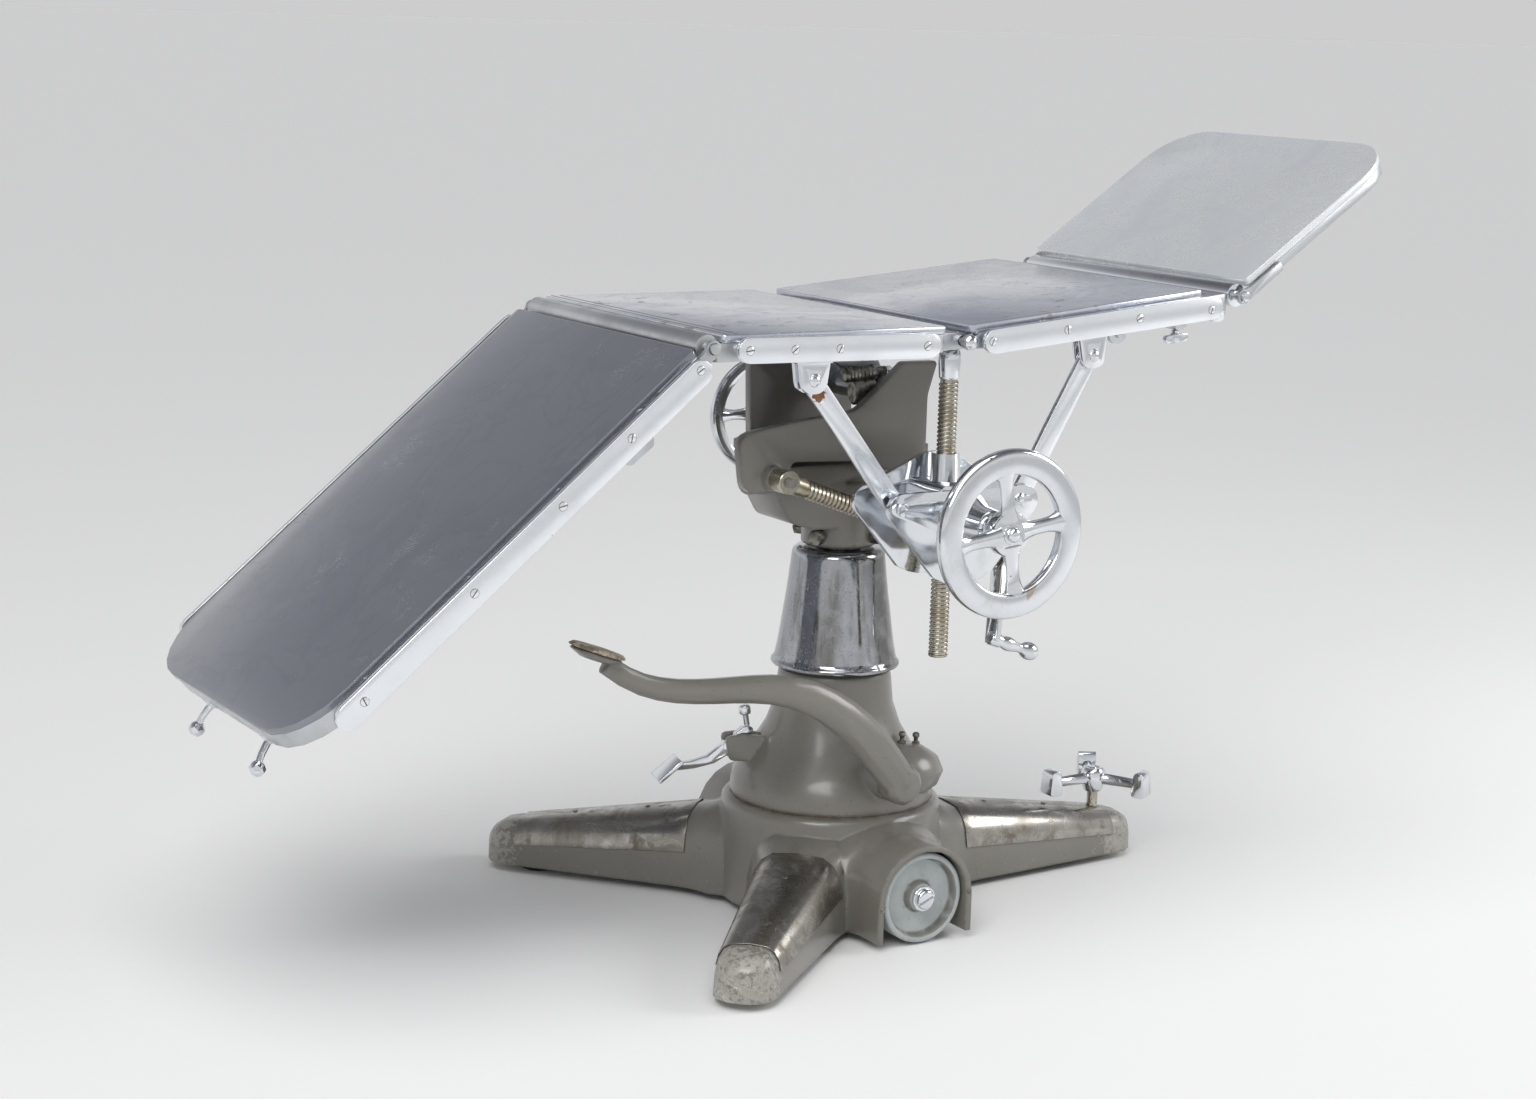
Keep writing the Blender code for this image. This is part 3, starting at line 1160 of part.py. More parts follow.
def back_section(back, paint, plate, chrome):
    """Local axes at the flex hinge: the section runs along +X and its top faces +Z."""
    top = 0.0212
    frame_top = top - SHEET_THICKNESS - SEAT_GAP
    frame_low = frame_top - FRAME_DEPTH
    half = FRAME_HALF_WIDTH
    frame = top_ring("back_frame", 0.016, BACK_LENGTH + 0.045, frame_low, frame_top, 0.003, 0.010, back,
                     paint, half)
    ear_pair(frame, 1, frame_low + 0.004, frame_top - 0.0006, 0.085)
    for u in GUIDE_PLACES:
        bar = box_mesh("crossbar", (u - 0.011, -half + 0.01, frame_low + 0.003),
                       (u + 0.011, half - 0.01, frame_top - 0.003))
        join(frame, bar)
    for side in (-1, 1):
        for u in GUIDE_PLACES:
            outline = [(u - 0.010, frame_low + 0.006, 0.001), (u - 0.012, frame_low - 0.026, 0.010),
                       (u + 0.012, frame_low - 0.026, 0.010), (u + 0.010, frame_low + 0.006, 0.001)]
            join(frame, plate_mesh("guide", [rounded(outline, 0.002, 2)],
                                   *sorted((side * (SLIDE_ROD_Y - 0.012), side * (SLIDE_ROD_Y + 0.012)))))
    for side in (-1, 1):
        start = Vector((0.10, side * SLIDE_ROD_Y, frame_low - 0.013))
        hole = rod_mesh("rod_bore", start, start + Vector((0.35, 0, 0)), SLIDE_ROD_RADIUS + SIDE_GAP,
                        FINE_ROUND)
        cut(frame, hole)
    lug_edges = (-half + 0.0005, LUG_THICKNESS - half)
    lug = [(BACK_LUG_PLACE - 0.0150, frame_low + 0.004),
           (BACK_LUG_PLACE - 0.0135, frame_low - 0.021, 0.012),
           (BACK_LUG_PLACE + 0.0135, frame_low - 0.021, 0.012),
           (BACK_LUG_PLACE + 0.0155, frame_low + 0.004)]
    join(frame, plate_mesh("back_lug", [rounded(lug, 0.001, 4)], *lug_edges))
    lug_pin = [(BACK_LUG_PLACE, y, frame_low - 0.0085) for y in (-half - 0.0045, 0.003 - half)]
    join(frame, rod_mesh("lug_pin", *lug_pin, 0.0048, FINE_ROUND, 0.0058))
    merge_flats(frame)
    sheet("back_sheet", 0.0045, BACK_LENGTH, top, 0.006, 0.006, back, plate)
    for side, label in ((-1, "near"), (1, "far")):
        rail(f"back_rail_{label}", side, (0.029, -0.001), (BACK_LENGTH + 0.001, -0.001), back, chrome,
             (0.27, 0.64, 0.99))
    pin = Matrix.Rotation(math.radians(-BACK_SLOPE),
                          2) @ Vector((BACK_LINK_PIN[0] - FLEX_HINGE_X, BACK_LINK_PIN[1] - FLEX_HINGE_Z))
    clevis("back_bracket", back, pin, frame_low, BACK_SLOPE, chrome)
    return frame_low, pin


def head_section(slide, frame_low, paint, panel, chrome):
    """Head panel on two rods that slide in the back section's guides."""
    rod_w = frame_low - 0.013
    arm = add("head_slide", rod_mesh("nosing", (HEAD_HINGE_U, -NOSE_HALF_WIDTH, HEAD_HINGE_W),
                                     (HEAD_HINGE_U, NOSE_HALF_WIDTH, HEAD_HINGE_W), NOSING_RADIUS, ROUND),
              slide, chrome)
    for side in (-1, 1):
        y = side * SLIDE_ROD_Y
        join(arm, rod_mesh("rod", (0.120, y, rod_w), (HEAD_HINGE_U, y, rod_w), SLIDE_ROD_RADIUS,
                           FINE_ROUND))
        horn = [(HEAD_HINGE_U - 0.012, rod_w - 0.010, 0.005), (HEAD_HINGE_U + 0.010, rod_w - 0.010, 0.008),
                (HEAD_HINGE_U + 0.0125, HEAD_HINGE_W, 0.01), (HEAD_HINGE_U - 0.0125, HEAD_HINGE_W, 0.01)]
        join(arm, plate_mesh("horn", [rounded(horn, 0.003, 3)],
                             *sorted((side * (SLIDE_ROD_Y - 0.006), side * (SLIDE_ROD_Y + 0.006)))))
        hinge = Vector((HEAD_HINGE_U, 0, HEAD_HINGE_W))
        out = Vector((0, side, 0))
        join(arm, rod_mesh("pin", hinge + out * (NOSE_HALF_WIDTH - 0.0085), hinge + out * PIN_END_Y,
                           HINGE_PIN_RADIUS))
    head = pivot("head_axis", slide, (HEAD_HINGE_U, 0, HEAD_HINGE_W), (0, BACK_SLOPE - HEAD_SLOPE, 0))
    top = NOSING_RADIUS - 0.0004
    start = NOSING_RADIUS + 0.0022
    frame_top = top - SHEET_THICKNESS - SEAT_GAP
    half = FRAME_HALF_WIDTH
    ring = top_ring("head_frame", start + 0.012, HEAD_LENGTH - 0.002, frame_top - 0.013, frame_top, 0.003,
                    0.078, head, paint, half)
    ear_pair(ring, 1, frame_top - 0.0125, frame_top - 0.0006, 0.075)
    merge_flats(ring)
    sheet("head_sheet", start, HEAD_LENGTH, top, 0.006, 0.080, head, panel)


def clamp_screw(name, back, side, frame_low, chrome):
    """T-handled screw under a rod guide."""
    axis = pivot(f"{name}_axis", back, (GUIDE_PLACES[1], side * SLIDE_ROD_Y, frame_low - 0.026 - SEAT_GAP))
    stem = [(0.0, 0.0), (0.0055, 0.0), (0.0055, -0.004), (0.008, -0.005), (0.008, -0.016), (0.0, -0.0175)]
    piece = add(name, turned_mesh("stem", stem, FINE_ROUND), axis, chrome)
    wing = [(-0.019, -0.006, 0.005), (0.019, -0.006, 0.005), (0.021, -0.017, 0.005),
            (-0.021, -0.017, 0.005)]
    join(piece, plate_mesh("wing", [rounded(wing, 0.004, 3)], -0.0035, 0.0035))
    merge_flats(piece)


def link(name, parent, length, toward, chrome):
    """Flat bar between the bracket pin, at the origin, and its open end by the housing."""
    radius = LINK_WIDTH / 2
    angle = math.degrees(math.atan2(toward[1], toward[0]))
    far_end = polar(length, angle)
    outline = arc((0, 0), radius, angle + 90, angle + 270, 7) + arc(far_end, radius, angle - 90, angle + 90,
                                                                    7)
    low = LINK_PIN_Y - LINK_THICKNESS / 2
    bar = add(name, plate_mesh(name, [outline], low, low + LINK_THICKNESS), parent, chrome)
    bore(bar, 0, 0, 0.0065 + RUN_GAP, low - 0.01, low + LINK_THICKNESS + 0.01)
    return bar


def flex_drive(seat, back, back_pin, chrome, steel):
    rod_axis = pivot("rod_axis", seat, (FLEX_HINGE_X, 0, FLEX_HINGE_Z))
    length = FLEX_HINGE_Z - ROD_BOTTOM_Z
    rod = add("flex_rod", rod_mesh("shaft", (0, ROD_Y, -0.02), (0, ROD_Y, -length), ROD_RADIUS, ROUND),
              rod_axis, steel)
    join(rod, rod_mesh("eye", (0, ROD_Y - 0.0165, 0), (0, ROD_Y + 0.0165, 0), EAR_RADIUS, ROUND))
    join(rod, rod_mesh("collar", (0, ROD_Y, -0.0085), (0, ROD_Y, -0.060), 0.0145, ROUND, 0.0135))
    bore(rod, 0, 0, HINGE_PIN_RADIUS + RUN_GAP, ROD_Y - 0.03, ROD_Y + 0.03)
    housing_axis = pivot("housing_axis", rod_axis, (0, 0, 0))
    pin_z = HOUSING_PIN_Z - FLEX_HINGE_Z
    centre_z = HANDWHEEL_Z - FLEX_HINGE_Z
    span = HOUSING_PIN_HALF_SPAN
    outline = arc((-span, pin_z), 0.021, 92, 215, 5)
    outline += arc((0, centre_z), 0.084, 238, 302, 5)
    outline += arc((span, pin_z), 0.021, -35, 88, 5)
    domed = outline + arc((0.010, centre_z), 0.079, 50, 122, 5)
    front = sorted((PLATE_FRONT_Y, PLATE_FRONT_Y + PLATE_THICKNESS))
    rear = sorted((PLATE_BACK_Y, PLATE_BACK_Y - PLATE_THICKNESS))
    case = add("flex_housing", plate_mesh("front_plate", [outline], *front), housing_axis, chrome)
    join(case, plate_mesh("rear_plate", [domed], *rear))
    block = [(-0.036, centre_z - 0.040, 0.01), (0.036, centre_z - 0.040, 0.01),
             (0.036, centre_z + 0.046, 0.01),
             (-0.036, centre_z + 0.046, 0.01)]
    join(case, plate_mesh("gear_case", [rounded(block, 0.01)], PLATE_FRONT_Y + 0.004, PLATE_BACK_Y - 0.004))
    boss_end = HANDWHEEL_FACE_Y + 0.042
    boss = [
        (0.0, -boss_end),
        (0.020, -boss_end),
        (0.024, -boss_end - 0.004),
        (0.026, -boss_end - 0.030),
        (0.038, -PLATE_FRONT_Y + 0.010),
        (0.040, -PLATE_FRONT_Y - 0.002),
        (0.0, -PLATE_FRONT_Y - 0.002),
    ]
    join(case, turned_mesh("boss", boss, ROUND, "Y"), at=(0, 0, centre_z))
    join(case, rod_mesh("nut_top", (0, ROD_Y, centre_z + 0.03), (0, ROD_Y, centre_z + 0.082), 0.0215, ROUND,
                        0.0185))
    for side in (-1, 1):
        head = (side * span, PLATE_FRONT_Y - 0.003, pin_z)
        join(case, rod_mesh("stub", head, (side * span, PLATE_FRONT_Y + 0.0035, pin_z), 0.0088))
    cut(case, rod_mesh("rod_bore", (0, ROD_Y, -0.4), (0, ROD_Y, 0.0), ROD_RADIUS + RUN_GAP, ROUND))
    bore(case, 0, centre_z, 0.0085 + RUN_GAP, HANDWHEEL_FACE_Y, PLATE_FRONT_Y + 0.012)
    merge_flats(case)
    wheel_axis = pivot("handwheel_axis", housing_axis, (0, HANDWHEEL_FACE_Y, centre_z))
    wheel = spoked_wheel("flex_handwheel", HANDWHEEL_RADIUS, HANDWHEEL_RIM, 0.020, 0.030, wheel_axis,
                         chrome, 8)
    hub_back = boss_end - HANDWHEEL_FACE_Y - SIDE_GAP
    hub_reach = PLATE_FRONT_Y - HANDWHEEL_FACE_Y + 0.003
    hub = [
        (0.0, 0.006),
        (0.007, 0.005),
        (0.0095, 0.001),
        (0.0095, -0.003),
        (0.027, -0.004),
        (0.029, -0.008),
        (0.027, -0.026),
        (0.020, -0.032),
        (0.020, -hub_back),
        (0.0085, -hub_back),
        (0.0085, -hub_reach),
        (0.0, -hub_reach),
    ]
    join(wheel, turned_mesh("hub", hub, SMALL_ROUND, "Y"))
    seat_toward = (FLEX_HINGE_X - span - SEAT_LINK_PIN[0], HOUSING_PIN_Z - SEAT_LINK_PIN[1])
    seat_pin = pivot("seat_link_axis", seat, (SEAT_LINK_PIN[0], 0, SEAT_LINK_PIN[1]))
    link("seat_link", seat_pin, math.hypot(*seat_toward), seat_toward, chrome)
    back_toward = (FLEX_HINGE_X + span - BACK_LINK_PIN[0], HOUSING_PIN_Z - BACK_LINK_PIN[1])
    local = Matrix.Rotation(math.radians(-BACK_SLOPE), 2) @ Vector(back_toward)
    back_link_pin = pivot("back_link_axis", back, (back_pin.x, 0, back_pin.y))
    link("back_link", back_link_pin, math.hypot(*back_toward), local, chrome)


def tilt_drive(cradle, steel, chrome):
    axis = pivot("screw_axis", cradle, (EYE_X, SCREW_Y, EYE_Z), (0, SCREW_SLOPE, 0))
    screw = add("tilt_screw", rod_mesh("shaft", (0.010, 0, 0), (CRANK_DISTANCE - 0.012, 0, 0),
                                       SCREW_RADIUS), axis, steel)
    join(screw, rod_mesh("eye", (0, -0.0135, 0), (0, 0.0138, 0), 0.0155))
    join(screw, rod_mesh("neck", (0.006, 0, 0), (0.030, 0, 0), 0.0130))
    bore(screw, 0, 0, 0.0065 + RUN_GAP, -0.02, 0.02)
    join(screw, rod_mesh("journal", (CRANK_DISTANCE - 0.02, 0, 0), (CRANK_DISTANCE + 0.010, 0, 0), 0.007))
    nut_axis = pivot("nut_axis", axis, (NUT_DISTANCE, 0, 0))
    outline = [(-0.020, -0.0190, 0.004), (0.020, -0.0190, 0.004), (0.020, 0.0190, 0.004),
               (-0.020, 0.0190, 0.004)]
    nut = add("tilt_nut", plate_mesh("nut", [rounded(outline, 0.004, 3)], -0.0175, 0.0175), nut_axis, steel)
    cut(nut, rod_mesh("nut_bore", (-0.05, 0, 0), (0.05, 0, 0), SCREW_RADIUS + RUN_GAP))
    crank_axis = pivot("crank_axis", axis, (CRANK_DISTANCE, 0, 0), (CRANK_HANG, 0, 0))
    arm = [(0.0165, -0.006, 0.004), (0.011, -CRANK_ARM + 0.012, 0.004), (0.011, -CRANK_ARM - 0.008, 0.006),
           (-0.011, -CRANK_ARM - 0.008, 0.006), (-0.011, -CRANK_ARM + 0.012, 0.004),
           (-0.0165, -0.006, 0.004), (-0.0165, 0.016, 0.012),
           (0.0165, 0.016, 0.012)]
    mesh = plate_mesh("arm", [rounded(arm, 0.003)], -0.005, 0.005)
    mesh.transform(Matrix.Rotation(math.pi / 2, 4, "Z"))
    crank = add("tilt_crank", mesh, crank_axis, chrome)
    cut(crank, rod_mesh("shaft_bore", (-0.02, 0, 0), (0.02, 0, 0), 0.007 + SIDE_GAP))
    grip = [
        (0.0, 0.078),
        (0.006, 0.0765),
        (0.0115, 0.070),
        (0.0125, 0.063),
        (0.010, 0.055),
        (0.0062, 0.049),
        (0.0085, 0.036),
        (0.0100, 0.026),
        (0.0075, 0.014),
        (0.0095, 0.009),
        (0.0095, 0.0),
        (0.0, 0.0),
    ]
    join(crank, turned_mesh("grip", grip, FINE_ROUND, "X"), at=(0, 0, -CRANK_ARM))
    merge_flats(crank)


clear_scene()
warm_paint = finish("warm_paint", (0.13, 0.122, 0.10), 0.38, 0.0)
frame_steel = finish("frame_steel", (0.30, 0.31, 0.33), 0.35, 0.9)
polished = finish("polished", (0.62, 0.61, 0.58), 0.22, 1.0)
bright = finish("bright", (0.78, 0.80, 0.83), 0.10, 1.0)
brushed = finish("brushed", (0.52, 0.54, 0.56), 0.34, 1.0)
oiled = finish("oiled", (0.42, 0.38, 0.28), 0.38, 1.0)
grey_rubber = finish("grey_rubber", (0.35, 0.37, 0.38), 0.6, 0.0)
dark_steel = finish("dark_steel", (0.10, 0.10, 0.10), 0.5, 0.8)
worn_tread = finish("worn_tread", (0.34, 0.30, 0.23), 0.55, 0.2)

root = pivot("table_root", None, (0, 0, -CYLINDER_FOOT_Z))
base_casting(root, warm_paint)
for leg_side in LEG_ANGLES:
    leg_cover(root, leg_side, polished)
    foot_pad(root, leg_side, dark_steel)
for wheel_side in (-1, 1):
    wheel_set(root, wheel_side, bright, grey_rubber)
column(root, warm_paint)
cylinder(root, dark_steel)
pump_lever(root, warm_paint, worn_tread)
release_pedal(root, bright)
floor_lock(root, bright, oiled)

lift_axis = pivot("lift_axis", root, (0, 0, 0))
lift_parts(lift_axis, bright, bright)
turn_axis = pivot("turn_axis", lift_axis, (0, 0, 0))
barrel_low, barrel_high = turret_casting(turn_axis, warm_paint, polished)
cradle_axis = pivot("side_tilt_axis", turn_axis, (0, 0, 0))
boss_face = cradle_casting(cradle_axis, barrel_low, barrel_high, warm_paint, dark_steel, dark_steel)
gear_wheel(cradle_axis, bright)
tilt_drive(cradle_axis, oiled, bright)

seat_axis = pivot("tilt_axis", cradle_axis, (0, 0, 0))
seat_low, seat_high = seat_section(seat_axis, boss_face, frame_steel, brushed, bright, dark_steel)
leg_axis = pivot("leg_axis", seat_axis, (LEG_HINGE_X, 0, TOP_Z - NOSING_RADIUS), (0, -LEG_SLOPE, 0))
leg_low = leg_section(leg_axis, frame_steel, brushed, bright)
end_lever("leg_lever_near", leg_axis, LEVER_PLACE[0], -LEVER_PLACE[1], leg_low, 12, bright)
end_lever("leg_lever_far", leg_axis, LEVER_PLACE[0], LEVER_PLACE[1], leg_low, -12, bright)
back_axis = pivot("back_axis", seat_axis, (FLEX_HINGE_X, 0, FLEX_HINGE_Z), (0, -BACK_SLOPE, 0))
back_low, back_pin_place = back_section(back_axis, frame_steel, brushed, bright)
head_slide_axis = pivot("head_slide_axis", back_axis, (0, 0, 0))
head_section(head_slide_axis, back_low, frame_steel, brushed, bright)
clamp_screw("clamp_screw_near", back_axis, -1, back_low, bright)
clamp_screw("clamp_screw_far", back_axis, 1, back_low, bright)
flex_drive(seat_axis, back_axis, back_pin_place, bright, oiled)
bpy.context.view_layer.update()
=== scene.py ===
import itertools
import json
import math

import bpy
from mathutils import Matrix, Vector


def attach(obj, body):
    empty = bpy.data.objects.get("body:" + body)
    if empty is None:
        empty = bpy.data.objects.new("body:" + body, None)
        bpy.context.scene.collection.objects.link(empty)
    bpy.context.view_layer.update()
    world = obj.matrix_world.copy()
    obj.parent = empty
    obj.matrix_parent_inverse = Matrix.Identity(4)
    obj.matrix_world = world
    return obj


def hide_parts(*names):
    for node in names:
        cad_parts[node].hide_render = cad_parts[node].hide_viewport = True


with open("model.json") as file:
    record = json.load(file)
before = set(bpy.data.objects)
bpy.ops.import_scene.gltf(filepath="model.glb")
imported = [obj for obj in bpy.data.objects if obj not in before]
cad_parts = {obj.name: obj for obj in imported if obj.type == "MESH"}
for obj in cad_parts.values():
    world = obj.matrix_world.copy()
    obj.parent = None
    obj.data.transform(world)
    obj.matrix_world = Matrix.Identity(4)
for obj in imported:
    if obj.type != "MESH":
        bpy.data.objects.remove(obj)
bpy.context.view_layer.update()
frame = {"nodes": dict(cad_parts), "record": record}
floorHeight = -0.010   # the frame's zero is 10 mm above the floor
shared = {"flexX": 0.030, "axleHeight": 0.064}   # places that several pieces share, the height from the floor
slotOf = {part["node"]: part["material_slot"] for part in frame["record"]["subparts"]}
bodyOf = {node: body for body, nodes in frame["record"]["behaviour"]["bodies"].items() for node in nodes}
print("frame loaded:", len(frame["nodes"]), "nodes")


class Wire:   # one node socket, so that shader maths reads as plain expressions
    def __init__(self, finish, socket):
        self.finish = finish
        self.socket = socket

    def maths(self, operation, *values):
        return self.finish.node("Math", {"operation": operation}, dict(enumerate(values)))

    def __add__(self, other):
        return self.maths("ADD", self, other)

    __radd__ = __add__

    def __sub__(self, other):
        return self.maths("SUBTRACT", self, other)

    def __rsub__(self, other):
        return self.maths("SUBTRACT", other, self)

    def __mul__(self, other):
        return self.maths("MULTIPLY", self, other)

    __rmul__ = __mul__

    def __abs__(self):
        return self.maths("ABSOLUTE", self)


class Finish:   # one material, or the world, and the nodes in it
    def __init__(self, name, kind="materials"):
        self.owner = getattr(bpy.data, kind).new(name)
        self.owner.use_nodes = True
        self.tree = self.owner.node_tree
        self.tree.nodes.clear()

    def node(self, kind, settings=None, inputs=None, output=0):
        made = self.tree.nodes.new("ShaderNode" + kind)
        for key, value in (settings or {}).items():
            if key == "stops":
                while len(made.color_ramp.elements) < len(value):
                    made.color_ramp.elements.new(0.5)
                for element, (place, colour) in zip(made.color_ramp.elements, value):
                    element.position = place
                    element.color = colour
            else:
                setattr(made, key, value)
        for key, value in (inputs or {}).items():
            if isinstance(value, Wire):
                self.tree.links.new(value.socket, made.inputs[key])
            else:
                made.inputs[key].default_value = value
        return Wire(self, made.outputs[output]) if len(made.outputs) else None

    def place(self, turn=(0, 0, 0)):   # the object's own coordinates in metres, turned in radians
        spot = self.node("TexCoord", output="Object")
        return self.node("Mapping", {"vector_type": "TEXTURE"}, {"Vector": spot, "Rotation": turn})

    def stretched(self, where, scale):   # a small scale along an axis draws a pattern out along it
        return self.node("VectorMath", {"operation": "MULTIPLY"}, {0: where, 1: scale})

    def away(self, where, axes, shift=(0, 0, 0)):   # the distance from an axis, axes being 0 along it
        flat = self.node("VectorMath", {"operation": "MULTIPLY_ADD"}, {0: where, 1: axes, 2: shift})
        return self.node("VectorMath", {"operation": "LENGTH"}, {0: flat}, output="Value")

    def noise(self, where, scale, detail=4, rough=0.55, warp=0.0):
        return self.node("TexNoise", {}, {"Vector": where, "Scale": scale, "Detail": detail,
                                          "Roughness": rough, "Distortion": warp})

    def between(self, value, low, high, outLow=0.0, outHigh=1.0):
        return self.node("MapRange", {"interpolation_type": "SMOOTHSTEP"},
                         {"Value": value, "From Min": low, "From Max": high,
                          "To Min": outLow, "To Max": outHigh})

    def patches(self, where, scale, low, high, detail=4, rough=0.55, warp=0.0):   # soft-edged noise
        return self.between(self.noise(where, scale, detail, rough, warp), low, high)

    def band(self, value, middle, full, faded):   # 1 within full of the middle, 0 beyond faded
        return self.between(abs(value - middle), full, faded, 1.0, 0.0)

    def colours(self, factor, first, second):   # colours are sRGB triples or links
        inputs = {0: factor}
        for key, value in ((6, first), (7, second)):
            inputs[key] = value if isinstance(value, Wire) else linear(value)
        return self.node("Mix", {"data_type": "RGBA"}, inputs, output=2)

    def edges(self, width, samples=4):   # 1 along the sharp edges of the piece, 0 on its faces
        rounded = self.node("Bevel", {"samples": samples}, {"Radius": width})
        plain = self.node("NewGeometry", output="Normal")
        along = self.node("VectorMath", {"operation": "DOT_PRODUCT"}, {0: rounded, 1: plain}, output="Value")
        return self.between(1 - along, 0.02, 0.22)

    def softEdge(self, radius):   # a normal that rounds a casting's edges and fillets
        return self.node("Bevel", {"samples": 6}, {"Radius": radius})

    def near(self, where, centre, reach, ragged):   # 1 inside a ragged patch round one place
        gap = self.node("VectorMath", {"operation": "DISTANCE"}, {0: where, 1: centre}, output="Value")
        gap = gap + (self.noise(where, 2.2 / reach, 4, 0.7) - 0.5) * ragged * reach
        return self.between(gap, reach * 0.94, reach, 1.0, 0.0)

    def bump(self, height, depth, normal=None):
        inputs = {"Height": height, "Distance": depth, "Strength": 1.0}
        if normal is not None:
            inputs["Normal"] = normal
        return self.node("Bump", {}, inputs)

    def scratches(self, turn, spacing, amount):   # thin straight marks, in soft patches
        where = self.place(turn)
        wave = self.noise(self.stretched(where, (1, 0.035, 1)), spacing, 2, 0.6, 0.15)
        line = self.band(wave, 0.5, 0.0, 0.012)
        return line * self.patches(where, 9, 0.62 - amount, 0.72 - amount, 3)

    def surface(self, **inputs):
        named = {key.replace("_", " "): value for key, value in inputs.items()}
        shader = self.node("BsdfPrincipled", {}, named)
        self.node("OutputMaterial", {}, {"Surface": shader})
        return self.owner


def linear(colour):
    parts = [c / 255 for c in colour[:3]]
    return tuple(c / 12.92 if c <= 0.04045 else ((c + 0.055) / 1.055) ** 2.4 for c in parts) + (1,)


def enamelFinish():
    look = {"paint": (114, 111, 104), "dust": (128, 125, 117), "grime": (84, 80, 72),
            "primer": (156, 153, 145), "bare": (134, 129, 119), "rust": (78, 64, 46), "nick": (226, 224, 216),
            "seam": 0.1432, "seamReach": (0.17, 0.18),   # the column's foot on the drum, heights in the frame
            "footTip": (0.415, 0.475), "footTop": (0.075, 0.095), "edge": 0.004, "soft": 0.007}
    f = Finish("base_enamel")
    where = f.place()
    cloud = f.patches(where, 9, 0.35, 0.7, 5, 0.6)
    colour = f.colours(cloud * 0.3, look["paint"], look["dust"])
    up = f.node("SeparateXYZ", {}, {0: f.node("NewGeometry", output="Normal")}, output=2)
    settled = f.patches(where, 36, 0.5, 0.75, 4) * f.between(up, 0.4, 1.0) * 0.45
    colour = f.colours(settled, colour, look["grime"])
    height = f.node("SeparateXYZ", {}, {0: where}, output=2)
    reach = f.away(where, (1, 1, 0))
    seam = f.band(height, look["seam"], 0.0008, 0.0050) * f.between(reach, *look["seamReach"], 1.0, 0.0)
    colour = f.colours(seam * f.patches(where, 40, 0.3, 0.6, 4) * 0.6, colour, look["rust"])
    spots = f.patches(where, 190, 0.675, 0.70, 3, 0.5)
    colour = f.colours(spots * 0.5, colour, look["grime"])
    low = f.between(height, 0.02, 0.09, 1.0, 0.0)
    tip = f.between(reach, *look["footTip"]) * f.between(height, *look["footTop"], 1.0, 0.0)
    flakes = f.noise(where, 120, 6, 0.75, 0.2)
    worn = f.between(flakes + f.edges(look["edge"]) * 0.15 + low * 0.04 + tip * 0.235, 0.66, 0.74)
    colour = f.colours(worn, colour, look["primer"])
    rubbed = f.patches(where, 210, 0.50, 0.62, 5, 0.7) * worn
    colour = f.colours(rubbed * 0.25, colour, look["bare"])
    nicks = f.scratches((0.4, 0, 0.5), 150, 0.02) * tip
    colour = f.colours(nicks, colour, look["nick"])
    peel = f.noise(where, 300, 2) * 0.18 + (1 - worn)
    return f.surface(Base_Color=colour, Metallic=rubbed * 0.6,
                     Roughness=f.between(cloud, 0, 1, 0.30, 0.38) + worn * 0.2,
                     Normal=f.bump(peel, 0.00028, f.softEdge(look["soft"])),
                     Coat_Weight=0.5, Coat_Roughness=0.16)


def coverFinish():
    look = {"steel": (166, 163, 157), "smear": (118, 112, 103), "stain": (96, 86, 72), "rub": (206, 203, 196)}
    f = Finish("cover_steel")
    where = f.place()
    smear = f.patches(where, 17, 0.38, 0.64, 6, 0.68, 0.9)
    stain = f.patches(where, 44, 0.56, 0.68, 5, 0.62)
    colour = f.colours(smear * 0.75, look["steel"], look["smear"])
    colour = f.colours(stain * 0.6, colour, look["stain"])
    bright = f.patches(where, 26, 0.58, 0.70, 4, 0.6)
    colour = f.colours(bright * 0.5, colour, look["rub"])
    pits = f.patches(where, 420, 0.68, 0.72, 2)
    colour = f.colours(pits * 0.4, colour, look["stain"])
    rough = 0.20 + smear * 0.14 + stain * 0.14
    marks = f.scratches((0, 0, 0.6), 260, 0.02) + f.scratches((0, 0, -0.3), 230, 0.02)
    return f.surface(Base_Color=f.colours(marks * 0.3, colour, look["rub"]), Metallic=1 - stain * 0.2,
                     Roughness=rough + marks * 0.1, Normal=f.bump(0 - marks * 0.4 - pits * 0.5, 0.00006))


def sleeveFinish():
    look = {"chrome": (172, 175, 180), "drip": (112, 110, 106), "pit": (84, 78, 68),
            "haze": (206, 208, 212)}
    f = Finish("sleeve_chrome")
    where = f.place()
    tall = f.stretched(where, (1, 1, 0.08))
    bands = f.between(f.noise(tall, 13, 3, 0.6), 0.40, 0.62)
    drips = f.between(f.noise(tall, 60, 5, 0.7, 0.2), 0.50, 0.66)
    haze = f.patches(where, 40, 0.45, 0.65, 6, 0.7)
    pits = f.patches(where, 420, 0.60, 0.65, 3, 0.7) * f.patches(where, 18, 0.42, 0.6, 3)
    colour = f.colours(bands * 0.8, look["chrome"], look["drip"])
    colour = f.colours(drips * 0.55, colour, look["drip"])
    colour = f.colours(haze * 0.25, colour, look["haze"])
    colour = f.colours(pits * 0.8, colour, look["pit"])
    return f.surface(Base_Color=colour, Metallic=1 - pits * 0.5,
                     Roughness=0.08 + drips * 0.18 + haze * 0.08 + pits * 0.35,
                     Normal=f.bump(1 - pits - drips * 0.15, 0.00010))


